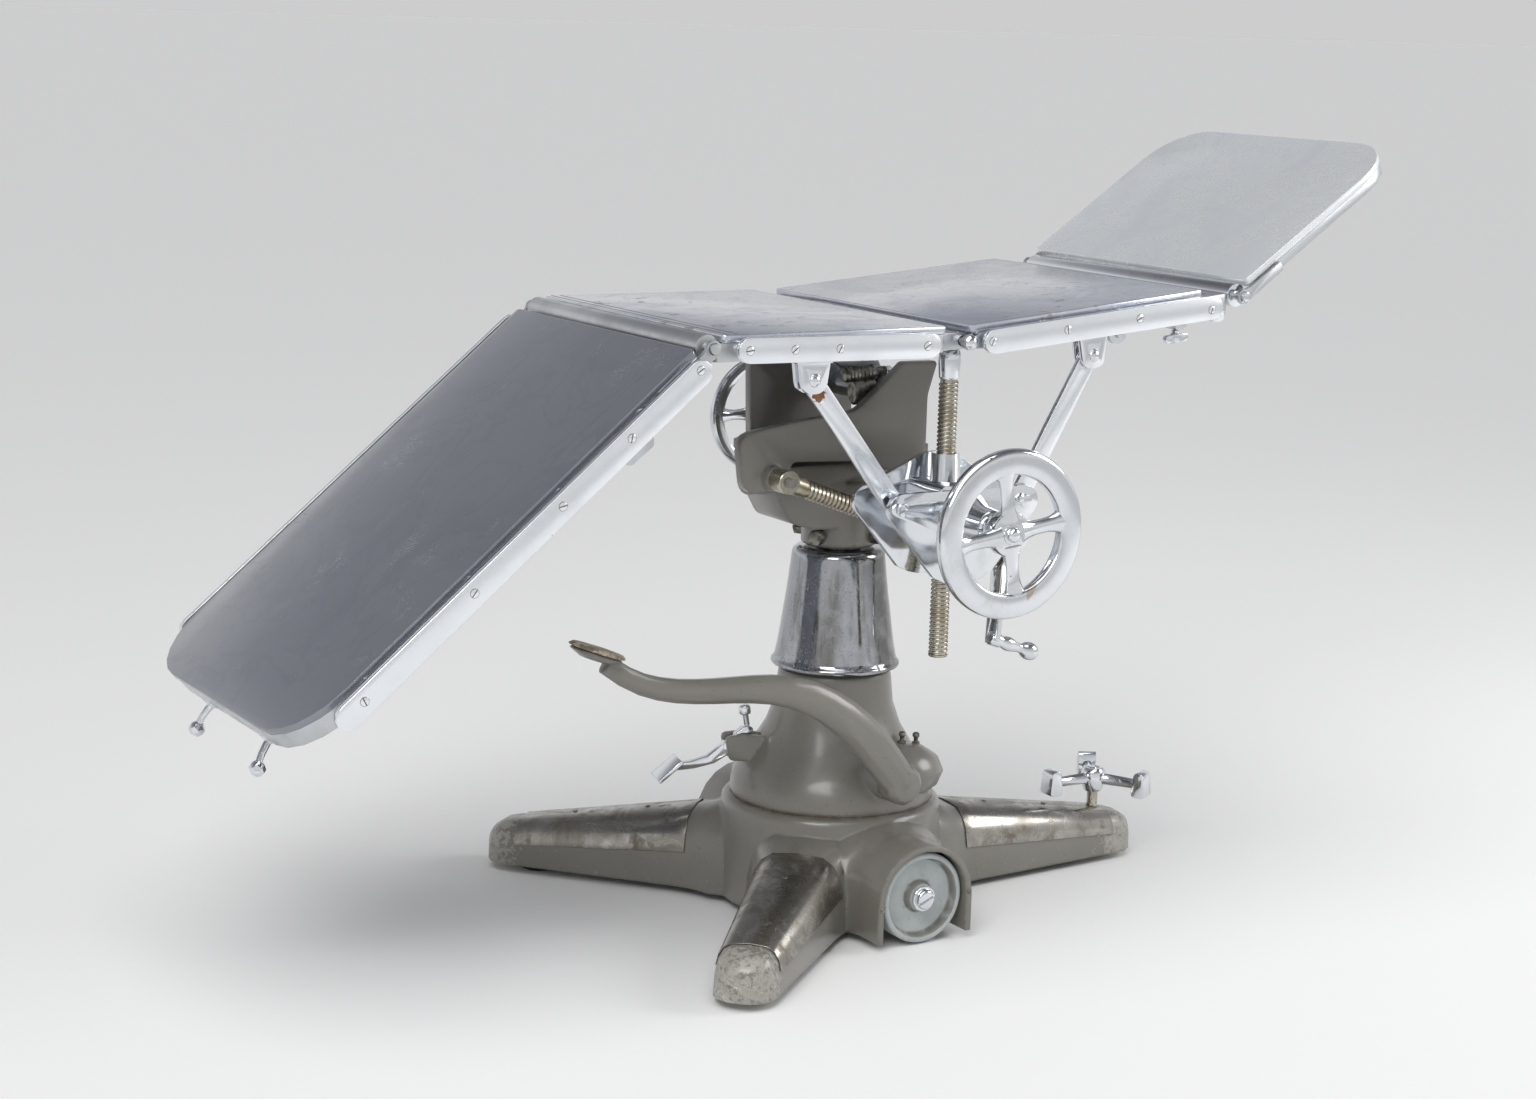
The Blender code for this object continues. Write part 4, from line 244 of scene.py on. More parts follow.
def sheetFinish(name, look):   # one finish with its own settings for each kind of sheet
    scratch = (244, 246, 246)
    f = Finish(name)
    where = f.place((0, look["turn"], 0))
    grain = f.noise(f.stretched(where, (0.03, 1, 1)), 900, 2, 0.6)
    haze = f.patches(where, look["cloud"], 0.42, 0.66, 6, 0.62, 0.8)
    swirl = f.band(f.noise(where, 4.5, 5, 0.5, 2.6), 0.5, 0.0, 0.035)
    colour = f.colours(haze * look["haze"], look["steel"], look["tint"])
    colour = f.colours(swirl * look["swirl"], colour, look["tint"])
    spot = f.patches(where, 34, 0.605, 0.65, 5, 0.66) * f.patches(where, 4, 0.45, 0.6, 2)
    colour = f.colours(spot * look["stains"], colour, look["stain"])
    lines = f.scratches((0, 0, 0.5), 210, look["marks"]) + f.scratches((0, 0, -0.9), 190, look["marks"])
    lines = lines + f.scratches((0, 0, 1.7), 170, look["marks"])
    rough = look["rough"] + haze * 0.05 + swirl * 0.03 + (grain - 0.5) * look["brush"] + spot * 0.12
    return f.surface(Base_Color=f.colours(lines * 0.6, colour, scratch), Metallic=look["metal"],
                     Roughness=rough + lines * 0.12,
                     Normal=f.bump(grain * look["brush"] - lines * look["cut"] - spot * 0.3, 0.00005))


def steelFrameFinish():
    look = {"steel": (200, 203, 207), "dull": (158, 158, 156)}
    f = Finish("frame_steel")
    where = f.place()
    cloud = f.patches(where, 18, 0.35, 0.7, 5)
    colour = f.colours(cloud * 0.4, look["steel"], look["dull"])
    return f.surface(Base_Color=colour, Metallic=1.0, Roughness=0.30 + cloud * 0.15,
                     Normal=f.bump(f.noise(where, 500, 2), 0.00004))


def chromeFinish():
    look = {"chrome": (222, 225, 229), "dull": (190, 191, 190), "copper": (126, 84, 60),
            "pit": (120, 114, 102), "drip": (168, 144, 92),
            "dripPlace": (0.064, -0.358, 0.495), "dripTurn": (0, 0.42, 0), "dripShape": (1, 1, 3.6),
            "dripReach": 0.0062}   # a dried drop on the large handwheel's rim
    f = Finish("bright_chrome")
    where = f.place()
    cloud = f.patches(where, 24, 0.50, 0.72, 5, 0.65, 0.4)
    gone = f.between(f.noise(where, 55, 4, 0.6) + f.edges(0.0012) * 0.08, 0.735, 0.745)
    colour = f.colours(cloud * 0.35, look["chrome"], look["dull"])
    colour = f.colours(gone, colour, look["copper"])
    streak = f.node("Mapping", {"vector_type": "TEXTURE"},
                    {"Vector": where, "Location": look["dripPlace"], "Rotation": look["dripTurn"],
                     "Scale": look["dripShape"]})
    colour = f.colours(f.near(streak, (0, 0, 0), look["dripReach"], 0.8) * 0.55, colour, look["drip"])
    pits = f.patches(where, 700, 0.70, 0.74, 2)
    marks = f.scratches((0, 1.57, 0.2), 300, 0.02)
    return f.surface(Base_Color=f.colours(pits * 0.3, colour, look["pit"]), Metallic=1.0,
                     Roughness=0.10 + cloud * 0.07 + gone * 0.3 + marks * 0.12 + pits * 0.15,
                     Normal=f.bump(1 - gone * 0.6 - marks * 0.3 - pits * 0.4, 0.00008))


def railFinish():   # the flat side rails and links: polished once, now an even satin white
    look = {"steel": (236, 239, 243), "dull": (214, 217, 222), "stain": (176, 156, 120),
            "copper": (132, 88, 62), "chip": (-0.1885, -0.2355, 0.7315), "chipReach": 0.0100}
    f = Finish("satin_rail")
    where = f.place()
    cloud = f.patches(where, 14, 0.45, 0.75, 5, 0.6)
    stain = f.patches(where, 38, 0.68, 0.72, 5, 0.66)
    fine = f.patches(where, 520, 0.55, 0.75, 3, 0.6)
    marks = f.scratches((0, 1.57, 0.3), 240, 0.02)
    colour = f.colours(cloud * 0.4 + fine * 0.2, look["steel"], look["dull"])
    colour = f.colours(stain * 0.5, colour, look["stain"])
    chip = f.near(where, look["chip"], look["chipReach"], 1.6)   # flaked plating by the seat's bracket
    colour = f.colours(chip, colour, look["copper"])
    return f.surface(Base_Color=colour, Metallic=1 - chip * 0.4,
                     Roughness=0.22 + cloud * 0.06 + marks * 0.1 + stain * 0.1 + chip * 0.3,
                     Normal=f.bump(0 - marks - fine * 0.3 - chip, 0.00004))


def oiledFinish():
    look = {"steel": (182, 177, 163), "brass": (138, 126, 98), "grime": (74, 68, 56),
            "crest": (218, 216, 208)}
    f = Finish("oiled_steel")
    where = f.place()
    cloud = f.patches(where, 34, 0.36, 0.66, 5)
    colour = f.colours(cloud * 0.6, look["steel"], look["brass"])
    grime = f.patches(where, 150, 0.56, 0.70, 4)
    colour = f.colours(grime * 0.45, colour, look["grime"])
    colour = f.colours(f.edges(0.0009, 6) * 0.7, colour, look["crest"])
    return f.surface(Base_Color=colour, Metallic=1 - grime * 0.3,
                     Roughness=0.24 + cloud * 0.10 + grime * 0.15, Normal=f.bump(1 - grime, 0.00005))


def wheelFinish():
    look = {"grey": (172, 178, 178), "shade": (146, 152, 152), "dirt": (104, 98, 86),
            "bright": (206, 209, 207), "soilAndPaintedShade": (84, 74, 58), "rimCorner": 0.0515, "hubCorner": 0.0205}
    f = Finish("wheel_grey")
    where = f.place()
    cloud = f.patches(where, 28, 0.38, 0.68, 5, 0.62)
    colour = f.colours(cloud * 0.5, look["grey"], look["shade"])
    dirt = f.patches(where, 110, 0.62, 0.70, 5, 0.6)
    colour = f.colours(dirt * 0.45, colour, look["dirt"])
    # painted highlight: the wheel's sharp edges, the rim lip among them, made lighter as if they catch the
    # light
    colour = f.colours(f.edges(0.0025) * 0.7, colour, look["bright"])
    # painted shade with some dirt: soft, patchy dark rings where the dished face meets the rim and the hub
    reach = f.away(where, (1, 0, 1), (0, 0, -shared["axleHeight"] - floorHeight))
    rim = f.band(reach, look["rimCorner"], 0.0006, 0.0035)
    corners = rim + f.band(reach, look["hubCorner"], 0.0006, 0.0035)
    colour = f.colours(corners * f.patches(where, 50, 0.2, 0.55, 4) * 0.75, colour, look["soilAndPaintedShade"])
    return f.surface(Base_Color=colour, Roughness=0.42 + cloud * 0.10,
                     Normal=f.bump(f.noise(where, 260, 3) - dirt, 0.00010))


def ironFinish():
    look = {"iron": (64, 63, 61), "rust": (92, 74, 56)}
    f = Finish("dull_iron")
    where = f.place()
    rust = f.patches(where, 48, 0.52, 0.68, 5)
    colour = f.colours(rust * 0.5, look["iron"], look["rust"])
    return f.surface(Base_Color=colour, Metallic=0.8 - rust * 0.5, Roughness=0.46 + rust * 0.2,
                     Normal=f.bump(f.noise(where, 300, 3), 0.00015))


def treadFinish():
    look = {"dark": (108, 98, 82), "worn": (176, 166, 146), "speck": (62, 54, 44)}
    f = Finish("worn_tread")
    where = f.place()
    wear = f.patches(where, 70, 0.44, 0.62, 5, 0.66, 0.8)
    colour = f.colours(wear, look["dark"], look["worn"])
    specks = f.patches(where, 260, 0.60, 0.66, 4)
    return f.surface(Base_Color=f.colours(specks * 0.7, colour, look["speck"]), Metallic=wear * 0.15,
                     Roughness=0.62 - wear * 0.2, Normal=f.bump(wear * 0.6 - specks, 0.00035))


def boltFinish():
    look = {"steel": (150, 147, 138), "dull": (92, 88, 80)}
    f = Finish("bolt_steel")
    where = f.place()
    cloud = f.patches(where, 110, 0.4, 0.65, 4)
    return f.surface(Base_Color=f.colours(cloud, look["steel"], look["dull"]), Metallic=0.9,
                     Roughness=0.32 + cloud * 0.18, Normal=f.bump(f.noise(where, 500, 2), 0.00008))


def ringFinish():
    look = {"dark": (58, 54, 48), "light": (92, 84, 72)}
    f = Finish("dark_ring")
    cloud = f.noise(f.place(), 300, 3)
    return f.surface(Base_Color=f.colours(cloud, look["dark"], look["light"]), Metallic=0.4,
                     Roughness=0.5 + cloud * 0.1)


finishes = {
    "base_paint": enamelFinish(),
    "leg_cover_steel": coverFinish(),
    "sleeve_chrome": sleeveFinish(),
    "table_sheet": sheetFinish("table_sheet", {
        "steel": (206, 209, 216), "tint": (168, 175, 192), "stain": (142, 130, 110),
        "rough": 0.20, "haze": 0.50, "swirl": 0.15, "stains": 0.6, "marks": 0.06, "turn": 0.0, "cloud": 9,
        "brush": 0.16, "metal": 0.8, "cut": 0.6}),
    "leg_panel": sheetFinish("leg_panel", {
        "steel": (142, 145, 152), "tint": (126, 130, 139), "stain": (116, 108, 92),
        "rough": 0.13, "haze": 0.30, "swirl": 0.28, "stains": 0.10, "marks": 0.0, "turn": 0.69, "cloud": 5,
        "brush": 0.0, "metal": 0.6, "cut": 0.0}),
    "head_panel": sheetFinish("head_panel", {
        "steel": (236, 239, 241), "tint": (214, 219, 224), "stain": (160, 146, 112),
        "rough": 0.26, "haze": 0.40, "swirl": 0.10, "stains": 0.15, "marks": 0.11, "turn": -0.6, "cloud": 8,
        "brush": 0.02, "metal": 0.5, "cut": 0.08}),
    "frame_steel": steelFrameFinish(),
    "chrome": chromeFinish(),
    "oiled_steel": oiledFinish(),
    "wheel_grey": wheelFinish(),
    "dark_steel": ironFinish(),
    "worn_tread": treadFinish(),
    "bolt_steel": boltFinish(),
}
otherFinishes = {"satin_rail": railFinish(), "dark_ring": ringFinish()}
print("finishes ready:", len(finishes) + len(otherFinishes))


def onFloor(x, y, z):   # a place in the frame, from one whose height is measured from the floor
    return (x, y, z + floorHeight)


def selectOnly(*objects):
    bpy.ops.object.select_all(action="DESELECT")
    for item in objects:
        item.select_set(True)
    bpy.context.view_layer.objects.active = objects[0]


def applied(piece, kind, **settings):
    change = piece.modifiers.new(kind.lower(), kind)
    for key, value in settings.items():
        setattr(change, key, value)
    selectOnly(piece)
    bpy.ops.object.modifier_apply(modifier=change.name)


def smoothed(piece, angle=38):   # round where faces meet at less than the angle, sharp elsewhere
    selectOnly(piece)
    bpy.ops.object.shade_smooth_by_angle(angle=math.radians(angle))
    return piece


def moved(piece, at=(0, 0, 0), turn=(0, 0, 0), size=(1, 1, 1)):   # in its mesh, the turn in degrees
    piece.scale = size
    selectOnly(piece)
    bpy.ops.object.transform_apply(location=False, rotation=False, scale=True)
    piece.rotation_euler = [math.radians(angle) for angle in turn]
    piece.location = at
    bpy.ops.object.transform_apply(location=True, rotation=True, scale=True)
    return piece


def carried(piece, place):   # moved by a whole frame, such as the tilt screw's
    piece.matrix_world = place
    selectOnly(piece)
    bpy.ops.object.transform_apply(location=True, rotation=True, scale=True)
    return piece


def joined(first, *others):
    selectOnly(first, *others)
    bpy.ops.object.join()
    return first


def removed(*items):
    for item in items:
        bpy.data.objects.remove(item, do_unlink=True)


def carved(piece, tool):   # cuts the tool out of the piece and removes it
    applied(piece, "BOOLEAN", operation="DIFFERENCE", solver="EXACT", object=tool)
    removed(tool)
    return piece


def twin(piece, name):   # a copy with its own mesh
    other = piece.copy()
    other.data = piece.data.copy()
    other.name = name
    bpy.context.scene.collection.objects.link(other)
    return other


def lathed(name, profile, steps=64, closed=False):   # a circle grown point by point into a turned piece
    bpy.ops.object.select_all(action="DESELECT")
    bpy.ops.mesh.primitive_circle_add(vertices=steps, radius=profile[0][0], location=(0, 0, profile[0][1]),
                                      fill_type="NOTHING" if closed else "NGON")
    piece = bpy.context.object
    piece.name = name
    bpy.ops.object.transform_apply(location=True, rotation=True, scale=True)
    bpy.ops.object.mode_set(mode="EDIT")
    bpy.ops.mesh.select_all(action="SELECT")
    following = profile[1:] + (profile[:1] if closed else [])
    for (radius, height), (nextRadius, nextHeight) in zip(profile, following):
        bpy.ops.mesh.extrude_region_move(TRANSFORM_OT_translate={"value": (0, 0, nextHeight - height)})
        bpy.ops.transform.resize(value=(nextRadius / radius, nextRadius / radius, 1))
    bpy.ops.mesh.select_all(action="SELECT")
    if closed:
        bpy.ops.mesh.remove_doubles(threshold=0.000005)
    bpy.ops.mesh.normals_make_consistent(inside=False)
    bpy.ops.object.mode_set(mode="OBJECT")
    return piece


def block(name, size, rounding, at=(0, 0, 0), turn=(0, 0, 0)):   # a box with softened edges
    bpy.ops.object.select_all(action="DESELECT")
    bpy.ops.mesh.primitive_cube_add(size=1)
    piece = bpy.context.object
    piece.name = name
    piece.scale = size
    bpy.ops.object.transform_apply(location=True, rotation=True, scale=True)
    applied(piece, "BEVEL", width=rounding, segments=3, limit_method="NONE")
    return moved(piece, at, turn)


def settle(piece, node, slot=None, replace=False, look=None):   # onto the body that carries the node
    slot = slot or slotOf[node]
    piece.data.materials.clear()
    piece.data.materials.append(otherFinishes[look] if look else finishes[slot])
    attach(piece, bodyOf[node])
    if replace:
        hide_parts(node)
    return piece


# A dressed copy of a node: triangles merged, edges broken with a small radius, round faces smooth.
dressing = {
    "weld": 0.00002, "flat": 0.6, "corner": 40, "usual": 0.0006,
    "base_casting": 0.0035, "column_body": 0.0018, "turret": 0.0025, "cradle": 0.0055, "pump_lever": 0.0015,
    "leg_cover_left": 0.0008, "leg_cover_front": 0.0008, "leg_cover_right": 0.0008,
    "seat_sheet": 0.0012, "back_sheet": 0.0012, "leg_sheet": 0.0022, "head_sheet": 0.0022,
    "flex_housing": 0.0016, "head_frame": 0.0035, "leg_frame": 0.0025,
}


def dressedCopy(node):
    piece = twin(frame["nodes"][node], "look_" + node)
    selectOnly(piece)
    bpy.ops.object.mode_set(mode="EDIT")
    bpy.ops.mesh.select_all(action="SELECT")
    bpy.ops.mesh.remove_doubles(threshold=dressing["weld"])
    bpy.ops.mesh.dissolve_limited(angle_limit=math.radians(dressing["flat"]))
    bpy.ops.object.mode_set(mode="OBJECT")
    applied(piece, "BEVEL", width=dressing.get(node, dressing["usual"]), segments=2, limit_method="ANGLE",
            angle_limit=math.radians(dressing["corner"]), use_clamp_overlap=True, harden_normals=False)
    satin = "_rail_" in node or node in ("seat_link", "back_link")
    return settle(smoothed(piece), node, replace=True, look="satin_rail" if satin else None)


remade = {"flex_handwheel", "gear_wheel", "flex_rod", "tilt_screw", "tilt_crank", "column_sleeve",
          "wheel_near", "wheel_far", "wheel_axle_near", "wheel_axle_far"}
for nodeName in sorted(set(frame["nodes"]) - remade):
    dressedCopy(nodeName)
print("nodes dressed")


# Handwheels: a flat-faced rim, four spokes that swell into rim and hub, a hub disc and a domed nut.
def handwheel(name, look):
    wheel = lathed(name, look["rim"], 128, closed=True)
    spoke = lathed(name + "_spoke", look["spoke"], 28)
    moved(spoke, size=(look["flat"], 1, 1))
    for turn in look["turns"]:
        arm = moved(twin(spoke, name + "_arm"), (0, 0, look["depth"]), (0, 90, turn))
        joined(wheel, arm)
    removed(spoke)
    joined(wheel, lathed(name + "_hub", look["hub"], 64))
    moved(wheel, onFloor(*look["centre"]), (look["facing"], 0, 0))
    settle(smoothed(wheel, 32), name, replace=True)


handwheel("flex_handwheel", {
    "centre": (shared["flexX"], -0.358, 0.570), "facing": 90, "turns": (8, 98, 188, 278), "flat": 0.62,
    "depth": -0.0095,
    "rim": [(0.0772, -0.0014), (0.0790, -0.0005), (0.0815, 0.0), (0.1010, 0.0), (0.1045, -0.0008),
            (0.1072, -0.0028), (0.1086, -0.0060), (0.1090, -0.0100), (0.1082, -0.0145), (0.1058, -0.0180),
            (0.1020, -0.0197), (0.0850, -0.0197), (0.0800, -0.0185), (0.0768, -0.0158), (0.0756, -0.0120),
            (0.0755, -0.0060), (0.0761, -0.0030)],
    "spoke": [(0.0160, 0.016), (0.0138, 0.023), (0.0114, 0.030), (0.0100, 0.038), (0.0096, 0.048),
              (0.0099, 0.058), (0.0110, 0.065), (0.0128, 0.0705), (0.0150, 0.0750), (0.0152, 0.0800)],
    "hub": [(0.0006, 0.0064), (0.0038, 0.0061), (0.0066, 0.0050), (0.0085, 0.0032), (0.0094, 0.0008),
            (0.0095, -0.0028), (0.0125, -0.0030), (0.0128, -0.0040), (0.0255, -0.0042), (0.0278, -0.0050),
            (0.0290, -0.0072), (0.0292, -0.0110), (0.0288, -0.0200), (0.0272, -0.0258), (0.0238, -0.0296),
            (0.0205, -0.0326), (0.0198, -0.0414), (0.0085, -0.0415), (0.0084, -0.1110)],
})
handwheel("gear_wheel", {
    "centre": (0.010, 0.235, 0.646), "facing": -90, "turns": (0, 90, 180, 270), "flat": 0.55,
    "depth": -0.0078,
    "rim": [(0.0655, -0.0020), (0.0680, -0.0006), (0.0715, 0.0), (0.0765, 0.0), (0.0800, -0.0010),
            (0.0828, -0.0036), (0.0839, -0.0080), (0.0828, -0.0122), (0.0800, -0.0150), (0.0745, -0.0158),
            (0.0690, -0.0150), (0.0655, -0.0128), (0.0642, -0.0080)],
    "spoke": [(0.0150, 0.012), (0.0125, 0.020), (0.0094, 0.028), (0.0078, 0.037), (0.0074, 0.046),
              (0.0082, 0.054), (0.0102, 0.061), (0.0130, 0.0665), (0.0132, 0.070)],
    "hub": [(0.0006, 0.0040), (0.0120, 0.0040), (0.0160, 0.0034), (0.0205, 0.0010), (0.0220, -0.0022),
            (0.0220, -0.0180), (0.0196, -0.0236), (0.0164, -0.0276), (0.0120, -0.0292), (0.0085, -0.0293),
            (0.0084, -0.1300)],
})
print("handwheels made")


# Screws: a plain core with a ridge wound round it, which runs in a little from both ends.
def thread(name, look):
    core = lathed(name, [(look["core"], look["start"]), (look["core"], look["end"])], 40)
    bpy.ops.object.select_all(action="DESELECT")
    bpy.ops.mesh.primitive_circle_add(vertices=look["corners"], radius=look["ridge"])
    ridge = bpy.context.object
    moved(ridge, size=(look["height"], 1, 1), turn=(90, 0, 0))
    runIn = look["pitch"] * 0.6
    low = min(look["start"], look["end"]) + runIn
    moved(ridge, (look["crest"] - look["ridge"] * look["height"], 0, low))
    turns = int((abs(look["end"] - look["start"]) - runIn * 2) / look["pitch"])
    applied(ridge, "SCREW", angle=2 * math.pi, screw_offset=look["pitch"], iterations=turns, steps=32,
            render_steps=32, use_normal_calculate=True, axis="Z")
    return joined(core, ridge)


def flexRod():
    look = {
        "y": -0.202, "hinge": 0.800,
        "thread": {"core": 0.0110, "crest": 0.0128, "ridge": 0.0024, "height": 0.9, "corners": 8,
                   "pitch": 0.0056, "start": 0.750, "end": 0.382},
        "foot": [(0.0108, 0.3860), (0.0128, 0.3850), (0.0128, 0.3835), (0.0116, 0.3820)],
        "neck": [(0.0118, 0.7480), (0.0128, 0.7490), (0.0132, 0.7510), (0.0138, 0.7600), (0.0146, 0.7720),
                 (0.0140, 0.7830), (0.0100, 0.7900)],
        "eye": [(0.0096, 0.0165), (0.0105, 0.0158), (0.0105, -0.0158), (0.0096, -0.0165)],
    }
    onAxis = onFloor(shared["flexX"], look["y"], 0)
    rod = joined(thread("flex_rod_thread", look["thread"]), lathed("foot", look["foot"], 40))
    settle(smoothed(moved(rod, onAxis), 50), "flex_rod", replace=True)
    neck = moved(lathed("flex_rod_neck", look["neck"], 48), onAxis)
    eye = lathed("flex_rod_eye", look["eye"], 40)
    moved(eye, onFloor(shared["flexX"], look["y"], look["hinge"]), (90, 0, 0))
    settle(smoothed(joined(neck, eye)), "flex_rod", "chrome")


def tiltFrame():   # the tilt screw's own frame: zero at its eye, x along the screw
    look = {"eye": (-0.170, -0.130, 0.615), "slope": 20.4}
    slope = Matrix.Rotation(math.radians(look["slope"]), 4, "Y")
    return Matrix.Translation(onFloor(*look["eye"])) @ slope


def tiltScrew(place):
    look = {
        "thread": {"core": 0.0098, "crest": 0.0125, "ridge": 0.0023, "height": 0.85, "corners": 4,
                   "pitch": 0.0065, "start": 0.030, "end": 0.354},
        "ends": [[(0.0128, 0.004), (0.0130, 0.028), (0.0122, 0.032)],
                 [(0.0105, 0.352), (0.0118, 0.3535), (0.0118, 0.3565)],
                 [(0.0070, 0.345), (0.0070, 0.3780), (0.0060, 0.3790)]],
        "eye": [(0.0146, 0.0138), (0.0155, 0.0130), (0.0155, -0.0126), (0.0146, -0.0135)],
    }
    screw = thread("tilt_screw_thread", look["thread"])
    for profile in look["ends"]:
        joined(screw, lathed("end", profile, 40))
    moved(screw, turn=(0, 90, 0))
    eye = moved(lathed("eye", look["eye"], 48), turn=(90, 0, 0))
    carried(joined(screw, eye), place)
    settle(smoothed(screw, 40), "tilt_screw", replace=True)


def tiltCrank(place):
    look = {
        "distance": 0.369, "hang": -22, "arm": (0.010, 0.0235, 0.118), "armEdge": 0.0022, "armMiddle": -0.058,
        "hub": [(0.0150, 0.0055), (0.0166, 0.0045), (0.0166, -0.0045), (0.0150, -0.0055)],
        "nut": [(0.0075, 0.0100), (0.0088, 0.0090), (0.0088, 0.0050)],
        "grip": [(0.0008, 0.0780), (0.0040, 0.0776), (0.0078, 0.0758), (0.0106, 0.0728), (0.0122, 0.0684),
                 (0.0125, 0.0640), (0.0116, 0.0585), (0.0096, 0.0540), (0.0072, 0.0505), (0.0063, 0.0480),
                 (0.0070, 0.0430), (0.0086, 0.0360), (0.0098, 0.0300), (0.0100, 0.0250), (0.0090, 0.0195),
                 (0.0076, 0.0148), (0.0074, 0.0125), (0.0093, 0.0108), (0.0095, 0.0085), (0.0095, -0.0050),
                 (0.0080, -0.0066)],
        "gripPlace": -0.112,
    }
    hang = Matrix.Translation((look["distance"], 0, 0)) @ Matrix.Rotation(math.radians(look["hang"]), 4, "X")
    arm = block("tilt_crank_arm", look["arm"], look["armEdge"], (0, 0, look["armMiddle"]))
    hub = moved(lathed("hub", look["hub"], 48), turn=(0, 90, 0))
    nut = moved(lathed("nut", look["nut"], 6), turn=(0, 90, 0))
    grip = moved(lathed("grip", look["grip"], 48), (0, 0, look["gripPlace"]), (0, 90, 0))
    carried(joined(arm, hub, nut, grip), place @ hang)
    settle(smoothed(arm), "tilt_crank", replace=True)


flexRod()
tiltScrew(tiltFrame())
tiltCrank(tiltFrame())
print("screws made")


# Column sleeve: the chromed skirt with a rolled top shoulder and a beaded foot.
def columnSleeve():
    look = {"profile": [
        (0.0314, 0.4965), (0.0500, 0.4965), (0.0546, 0.4962), (0.0582, 0.4950), (0.0608, 0.4930),
        (0.0627, 0.4900), (0.0637, 0.4850), (0.0644, 0.4780), (0.0668, 0.4560), (0.0700, 0.4300),
        (0.0735, 0.4060), (0.0770, 0.3810), (0.0800, 0.3620), (0.0830, 0.3470), (0.0842, 0.3430),
        (0.0862, 0.3405), (0.0878, 0.3385), (0.0880, 0.3362), (0.0870, 0.3342), (0.0845, 0.3335),
        (0.0815, 0.3338), (0.0810, 0.3440), (0.0710, 0.4060), (0.0611, 0.4850), (0.0560, 0.4930),
        (0.0314, 0.4940)]}
    sleeve = moved(lathed("column_sleeve_skirt", look["profile"], 128, closed=True), onFloor(0, 0, 0))
    settle(smoothed(sleeve), "column_sleeve", replace=True)


# Transport wheels: a dished face inside a narrow rim, on a slotted bolt with a washer.
def transportWheel(label, side):
    look = {
        "middle": 0.217, "slot": (0.030, 0.0034, 0.006), "slotEdge": 0.0003, "slotTurn": 24,
        "wheel": [(0.0100, 0.0150), (0.0170, 0.0150), (0.0185, 0.0140), (0.0195, 0.0060), (0.0215, 0.0040),
                  (0.0350, 0.0034), (0.0490, 0.0036), (0.0512, 0.0046), (0.0524, 0.0070), (0.0532, 0.0158),
                  (0.0542, 0.0170), (0.0575, 0.0170), (0.0595, 0.0164), (0.0606, 0.0150), (0.0610, 0.0130),
                  (0.0610, -0.0130), (0.0600, -0.0160), (0.0575, -0.0170), (0.0100, -0.0170)],
        "bolt": [(0.0092, 0.2445), (0.0118, 0.2436), (0.0132, 0.2418), (0.0135, 0.2390), (0.0135, 0.2378),
                 (0.0138, 0.2374), (0.0166, 0.2373), (0.0170, 0.2368), (0.0170, 0.2356), (0.0090, 0.2355),
                 (0.0090, 0.1720)],
    }
    wheel = lathed("wheel_face_" + label, look["wheel"], 96, closed=True)
    moved(wheel, onFloor(0, side * look["middle"], shared["axleHeight"]), (-90 * side, 0, 0))
    settle(smoothed(wheel), "wheel_" + label, replace=True)
    bolt = lathed("wheel_bolt_" + label, look["bolt"], 64)
    boltEnd = look["bolt"][0][1]
    carved(bolt, block("slot", look["slot"], look["slotEdge"], (0, 0, boltEnd), (0, 0, look["slotTurn"])))
    moved(bolt, onFloor(0, 0, shared["axleHeight"]), (-90 * side, 0, 0))
    settle(smoothed(bolt), "wheel_axle_" + label, replace=True)


columnSleeve()
transportWheel("near", -1)
transportWheel("far", 1)
print("sleeve and wheels made")


# Slotted screws: one head, copied to every rail, cover and hood.
def slottedHead(radius, rise):
    head = lathed("slotted_head", [(radius * 0.90, rise), (radius, rise * 0.55), (radius, -0.0012)], 32)
    return carved(head, block("slot", (radius * 2.4, radius * 0.24, 0.0016), 0.0001, (0, 0, rise)))


def railScrews():
    look = {
        "spots": {
            "leg_rail": [(-0.372, 0.782), (-0.464, 0.705), (-0.554, 0.629), (-0.667, 0.534), (-0.804, 0.419)],
            "seat_rail": [(-0.304, 0.8030), (-0.240, 0.8022), (-0.175, 0.8013), (-0.045, 0.7996)],
            "back_rail": [(0.055, 0.802), (0.173, 0.813), (0.290, 0.824), (0.411, 0.832)],
        },
        "slotTurns": (35, 80, 12, 52, 118, 64, 97, 28, 71, 145, 8, 40, 60),
        "railFace": 0.261, "radius": 0.0053, "rise": 0.0006,
        "ring": [(0.0010, 0.00012), (0.0058, 0.00012), (0.0060, -0.0008)],
    }
    model = slottedHead(look["radius"], look["rise"])
    seat = lathed("ring_model", look["ring"], 32)
    slotTurn = itertools.cycle(look["slotTurns"])
    for rail, places in look["spots"].items():
        for side, label in ((-1, "near"), (1, "far")):
            heads, rings = [], []
            for x, z in places:
                onRail = onFloor(x, side * look["railFace"], z)
                rings.append(moved(twin(seat, "ring"), onRail, (-90 * side, 0, 0)))
                head = moved(twin(model, "screw"), turn=(0, 0, next(slotTurn)))
                heads.append(moved(head, onRail, (-90 * side, 0, 0)))
            for pieces, kind, finish in ((heads, "screws_", "satin_rail"), (rings, "rings_", "dark_ring")):
                group = joined(*pieces)
                group.name = kind + rail + "_" + label
                settle(smoothed(group), rail + "_" + label, "frame_steel", look=finish)
    removed(model, seat)


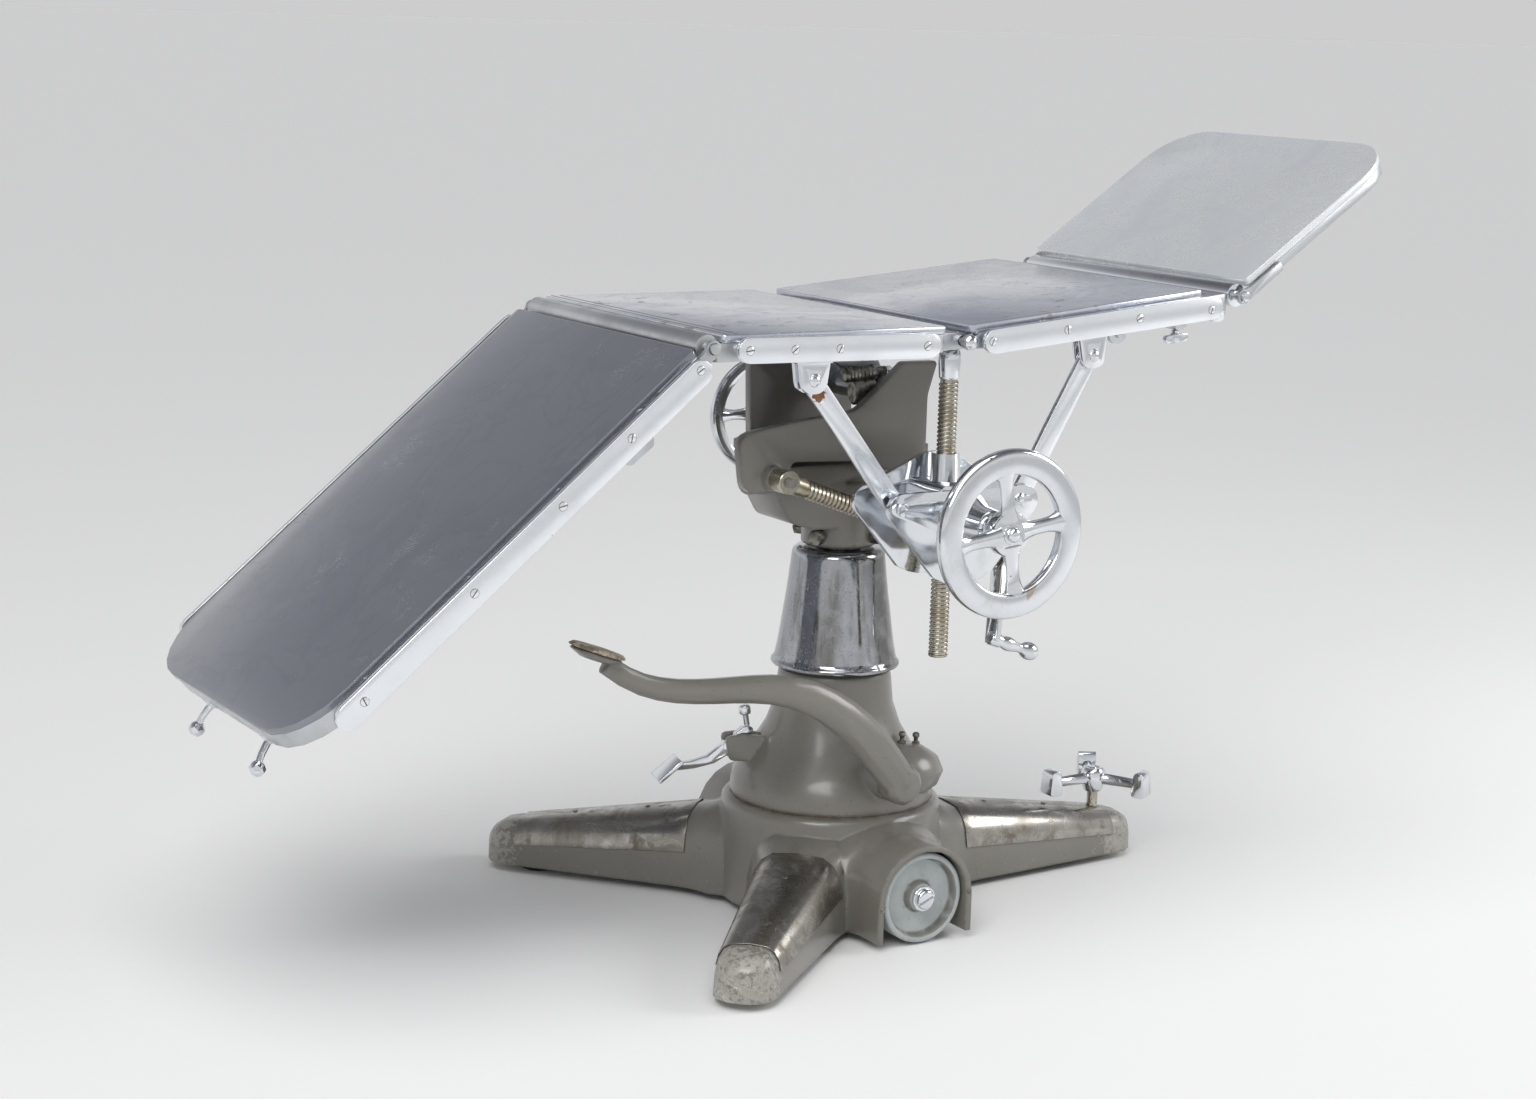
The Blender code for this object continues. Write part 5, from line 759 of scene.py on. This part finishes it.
def coverScrews():   # two on each leg's cover, which falls from the drum to the foot
    look = {"legs": {"left": (135, 0.493), "front": (-135, 0.493), "right": (0, 0.515)},
            "places": (0.262, 0.368), "root": 0.125, "rootHeight": 0.1265, "fall": 0.060, "slope": 9.2,
            "radius": 0.0034, "rise": 0.0007}
    model = slottedHead(look["radius"], look["rise"])
    for label, (angle, reach) in look["legs"].items():
        heads = []
        for radius in look["places"]:
            share = (radius - look["root"]) / (reach - look["root"])
            height = look["rootHeight"] - look["fall"] * share
            head = moved(twin(model, "screw"), onFloor(radius, 0, height), (0, look["slope"], 0))
            heads.append(moved(head, turn=(0, 0, angle)))
        group = joined(*heads)
        group.name = "screws_cover_" + label
        settle(smoothed(group), "leg_cover_" + label, "bolt_steel")
    removed(model)


def hoodScrews():
    look = {"face": 0.241, "places": ((-0.0685, 0.059, 30), (0.0690, 0.066, 75)),
            "radius": 0.0036, "rise": 0.0009}
    model = slottedHead(look["radius"], look["rise"])
    heads = []
    for side in (-1, 1):
        for x, z, turn in look["places"]:
            head = moved(twin(model, "screw"), turn=(0, 0, turn))
            heads.append(moved(head, onFloor(x, side * look["face"], z), (-90 * side, 0, 0)))
    group = joined(*heads)
    group.name = "screws_hood"
    settle(smoothed(group), "base_casting", "bolt_steel")
    removed(model)


def pumpPlungers():   # two small plungers on the bulge beside the lever
    look = {"places": ((0.055, -0.090, 0.2353), (0.0777, -0.090, 0.2317)),
            "profile": [(0.0008, 0.0160), (0.0026, 0.0157), (0.0044, 0.0142), (0.0049, 0.0118),
                        (0.0046, 0.0098), (0.0034, 0.0088), (0.0030, 0.0080), (0.0030, 0.0030),
                        (0.0052, 0.0026), (0.0054, -0.0030)]}
    plungers = []
    for place in look["places"]:
        plungers.append(moved(lathed("pump_plunger", look["profile"], 32), onFloor(*place)))
    settle(smoothed(joined(*plungers)), "column_body", "bolt_steel")


def seatLines():   # the two thin lines across the seat by the leg hinge
    look = {"size": (0.0012, 0.4760, 0.0008), "edge": 0.0002, "height": 0.8207, "places": (-0.3210, -0.3075)}
    lines = []
    for x in look["places"]:
        lines.append(block("seat_line", look["size"], look["edge"], onFloor(x, 0, look["height"])))
    settle(joined(*lines), "seat_sheet", "dark_steel", look="dark_ring")


def pinCaps():   # domed ends on the housing's two guide pins
    look = {"face": -0.249, "radius": 0.0080, "foot": -0.0010,
            "places": ((-0.0745, 0.5911), (0.1173, 0.5929)),
            # points of the dome in shares of its radius
            "dome": ((0.0625, 0.45), (0.35, 0.42), (0.65, 0.33), (0.88, 0.17), (1, 0.02))}
    radius = look["radius"]
    profile = [(out * radius, rise * radius) for out, rise in look["dome"]] + [(radius, look["foot"])]
    caps = []
    for x, z in look["places"]:
        caps.append(moved(lathed("cap", profile, 32), onFloor(x, look["face"], z), (90, 0, 0)))
    settle(smoothed(joined(*caps)), "flex_housing", "chrome")


def bossParts():   # the ribbed barrel with its bright end, and the dark collar under it
    look = {
        "barrelPlace": (-0.004, -0.058, 0.7395), "collarPlace": (-0.008, -0.0600, 0.7155),
        "endPlace": (0.0255, -0.058, 0.7400), "lie": 87, "collarSquash": (1, 0.75, 1),
        "ribs": {"points": 17, "from": -0.0330, "step": 0.0028, "crest": 0.0104, "root": 0.0090},
        "foot": [(0.0060, -0.0360), (0.0088, -0.0350)],
        "neck": [(0.0074, 0.0150), (0.0066, 0.0160), (0.0066, 0.0300)],
        "collar": [(0.0140, -0.0180), (0.0170, -0.0160), (0.0170, 0.0140), (0.0140, 0.0160)],
        "end": [(0.0062, 0.0), (0.0072, 0.0008), (0.0074, 0.0030), (0.0074, 0.0080), (0.0060, 0.0100)],
    }
    ribs = look["ribs"]
    ribbed = [(ribs["crest"] if point % 2 else ribs["root"], ribs["from"] + point * ribs["step"])
              for point in range(ribs["points"])]
    barrel = lathed("ribbed_barrel", look["foot"] + ribbed + look["neck"], 40)
    moved(barrel, onFloor(*look["barrelPlace"]), (0, look["lie"], 0))
    collar = lathed("dark_collar", look["collar"], 40)
    moved(collar, onFloor(*look["collarPlace"]), (0, look["lie"], 0), look["collarSquash"])
    settle(smoothed(joined(barrel, collar), 30), "seat_frame", "bolt_steel")
    end = moved(lathed("bright_end", look["end"], 32), onFloor(*look["endPlace"]), (0, look["lie"], 0))
    settle(smoothed(end), "seat_frame", "chrome", look="satin_rail")


railScrews()
coverScrews()
hoodScrews()
bossParts()
pumpPlungers()
seatLines()
pinCaps()
print("small parts made")


def cameraAtPhoto():   # where the photograph was taken from, found by fitting a camera to it
    view = {"place": (-2.0503, -3.1801, 1.1970), "right": (0.85637, -0.51555, 0.02854),
            "up": (0.07238, 0.17459, 0.98197), "ahead": (0.51127, 0.83886, -0.18684),
            "lens": 66.40, "sensor": 36}
    lens = bpy.data.cameras.new("photo_camera")
    lens.lens = view["lens"]
    lens.sensor_width = view["sensor"]
    holder = bpy.data.objects.new("photo_camera", lens)
    columns = [Vector(view["right"]), Vector(view["up"]), -Vector(view["ahead"])]
    turn = Matrix([[column[row] for column in columns] for row in range(3)])
    holder.matrix_world = Matrix.Translation(view["place"]) @ turn.to_4x4()
    bpy.context.scene.collection.objects.link(holder)
    bpy.context.scene.camera = holder


def softbox(name, look):
    lamp = bpy.data.lights.new(name, "AREA")
    lamp.shape = "RECTANGLE"
    lamp.size, lamp.size_y = look["size"]
    lamp.energy = look["power"]
    holder = bpy.data.objects.new(name, lamp)
    holder.location = look["place"]
    towards = Vector(look["target"]) - Vector(look["place"])
    holder.rotation_euler = towards.to_track_quat("-Z", "Y").to_euler()
    bpy.context.scene.collection.objects.link(holder)


def paleFloor():
    look = {"size": 400, "floor": (240, 240, 239), "rough": 0.75}
    bpy.ops.object.select_all(action="DESELECT")
    bpy.ops.mesh.primitive_plane_add(size=look["size"], location=(0, 0, floorHeight))
    floor = bpy.context.object
    floor.name = "studio_floor"
    ground = Finish("studio_floor")
    floor.data.materials.append(ground.surface(Base_Color=linear(look["floor"]), Roughness=look["rough"]))


def paleRoom():   # pale low down and darker overhead, and one plain colour where the camera itself looks
    look = {"stops": [(0.22, (0.86, 0.86, 0.86, 1)), (0.46, (0.40, 0.41, 0.44, 1)),
                      (0.80, (0.16, 0.16, 0.17, 1))],
            "strength": 0.9, "backdrop": (0.610, 0.610, 0.617, 1)}
    room = Finish("studio_world", "worlds")
    bpy.context.scene.world = room.owner
    height = room.node("SeparateXYZ", {}, {0: room.node("TexCoord", output="Generated")}, output="Z")
    ramp = room.node("ValToRGB", {"stops": look["stops"]}, {0: height})
    shade = room.node("Background", {}, {"Color": ramp, "Strength": look["strength"]})
    plain = room.node("Background", {}, {"Color": look["backdrop"]})
    seen = room.node("LightPath", output="Is Camera Ray")
    room.node("OutputWorld", {}, {0: room.node("MixShader", {}, {0: seen, 1: shade, 2: plain})})


def softSky():   # even light on the floor, out to the horizon
    look = {"power": 1.45, "spread": 60, "turn": (14, -16, 0)}
    sky = bpy.data.lights.new("soft_sky", "SUN")
    sky.energy = look["power"]
    sky.angle = math.radians(look["spread"])
    holder = bpy.data.objects.new("soft_sky", sky)
    holder.rotation_euler = [math.radians(angle) for angle in look["turn"]]
    bpy.context.scene.collection.objects.link(holder)


cameraAtPhoto()
paleFloor()
paleRoom()
softbox("key_softbox", {"place": (-2.6, -2.4, 2.9), "target": (0, 0, 0.6), "size": (1.8, 1.4), "power": 48})
softbox("right_softbox", {"place": (3.0, -1.6, 2.0), "target": (0, 0, 0.6), "size": (1.6, 1.4), "power": 45})
softSky()
bpy.context.scene.view_settings.view_transform = "Standard"
print("scene ready")
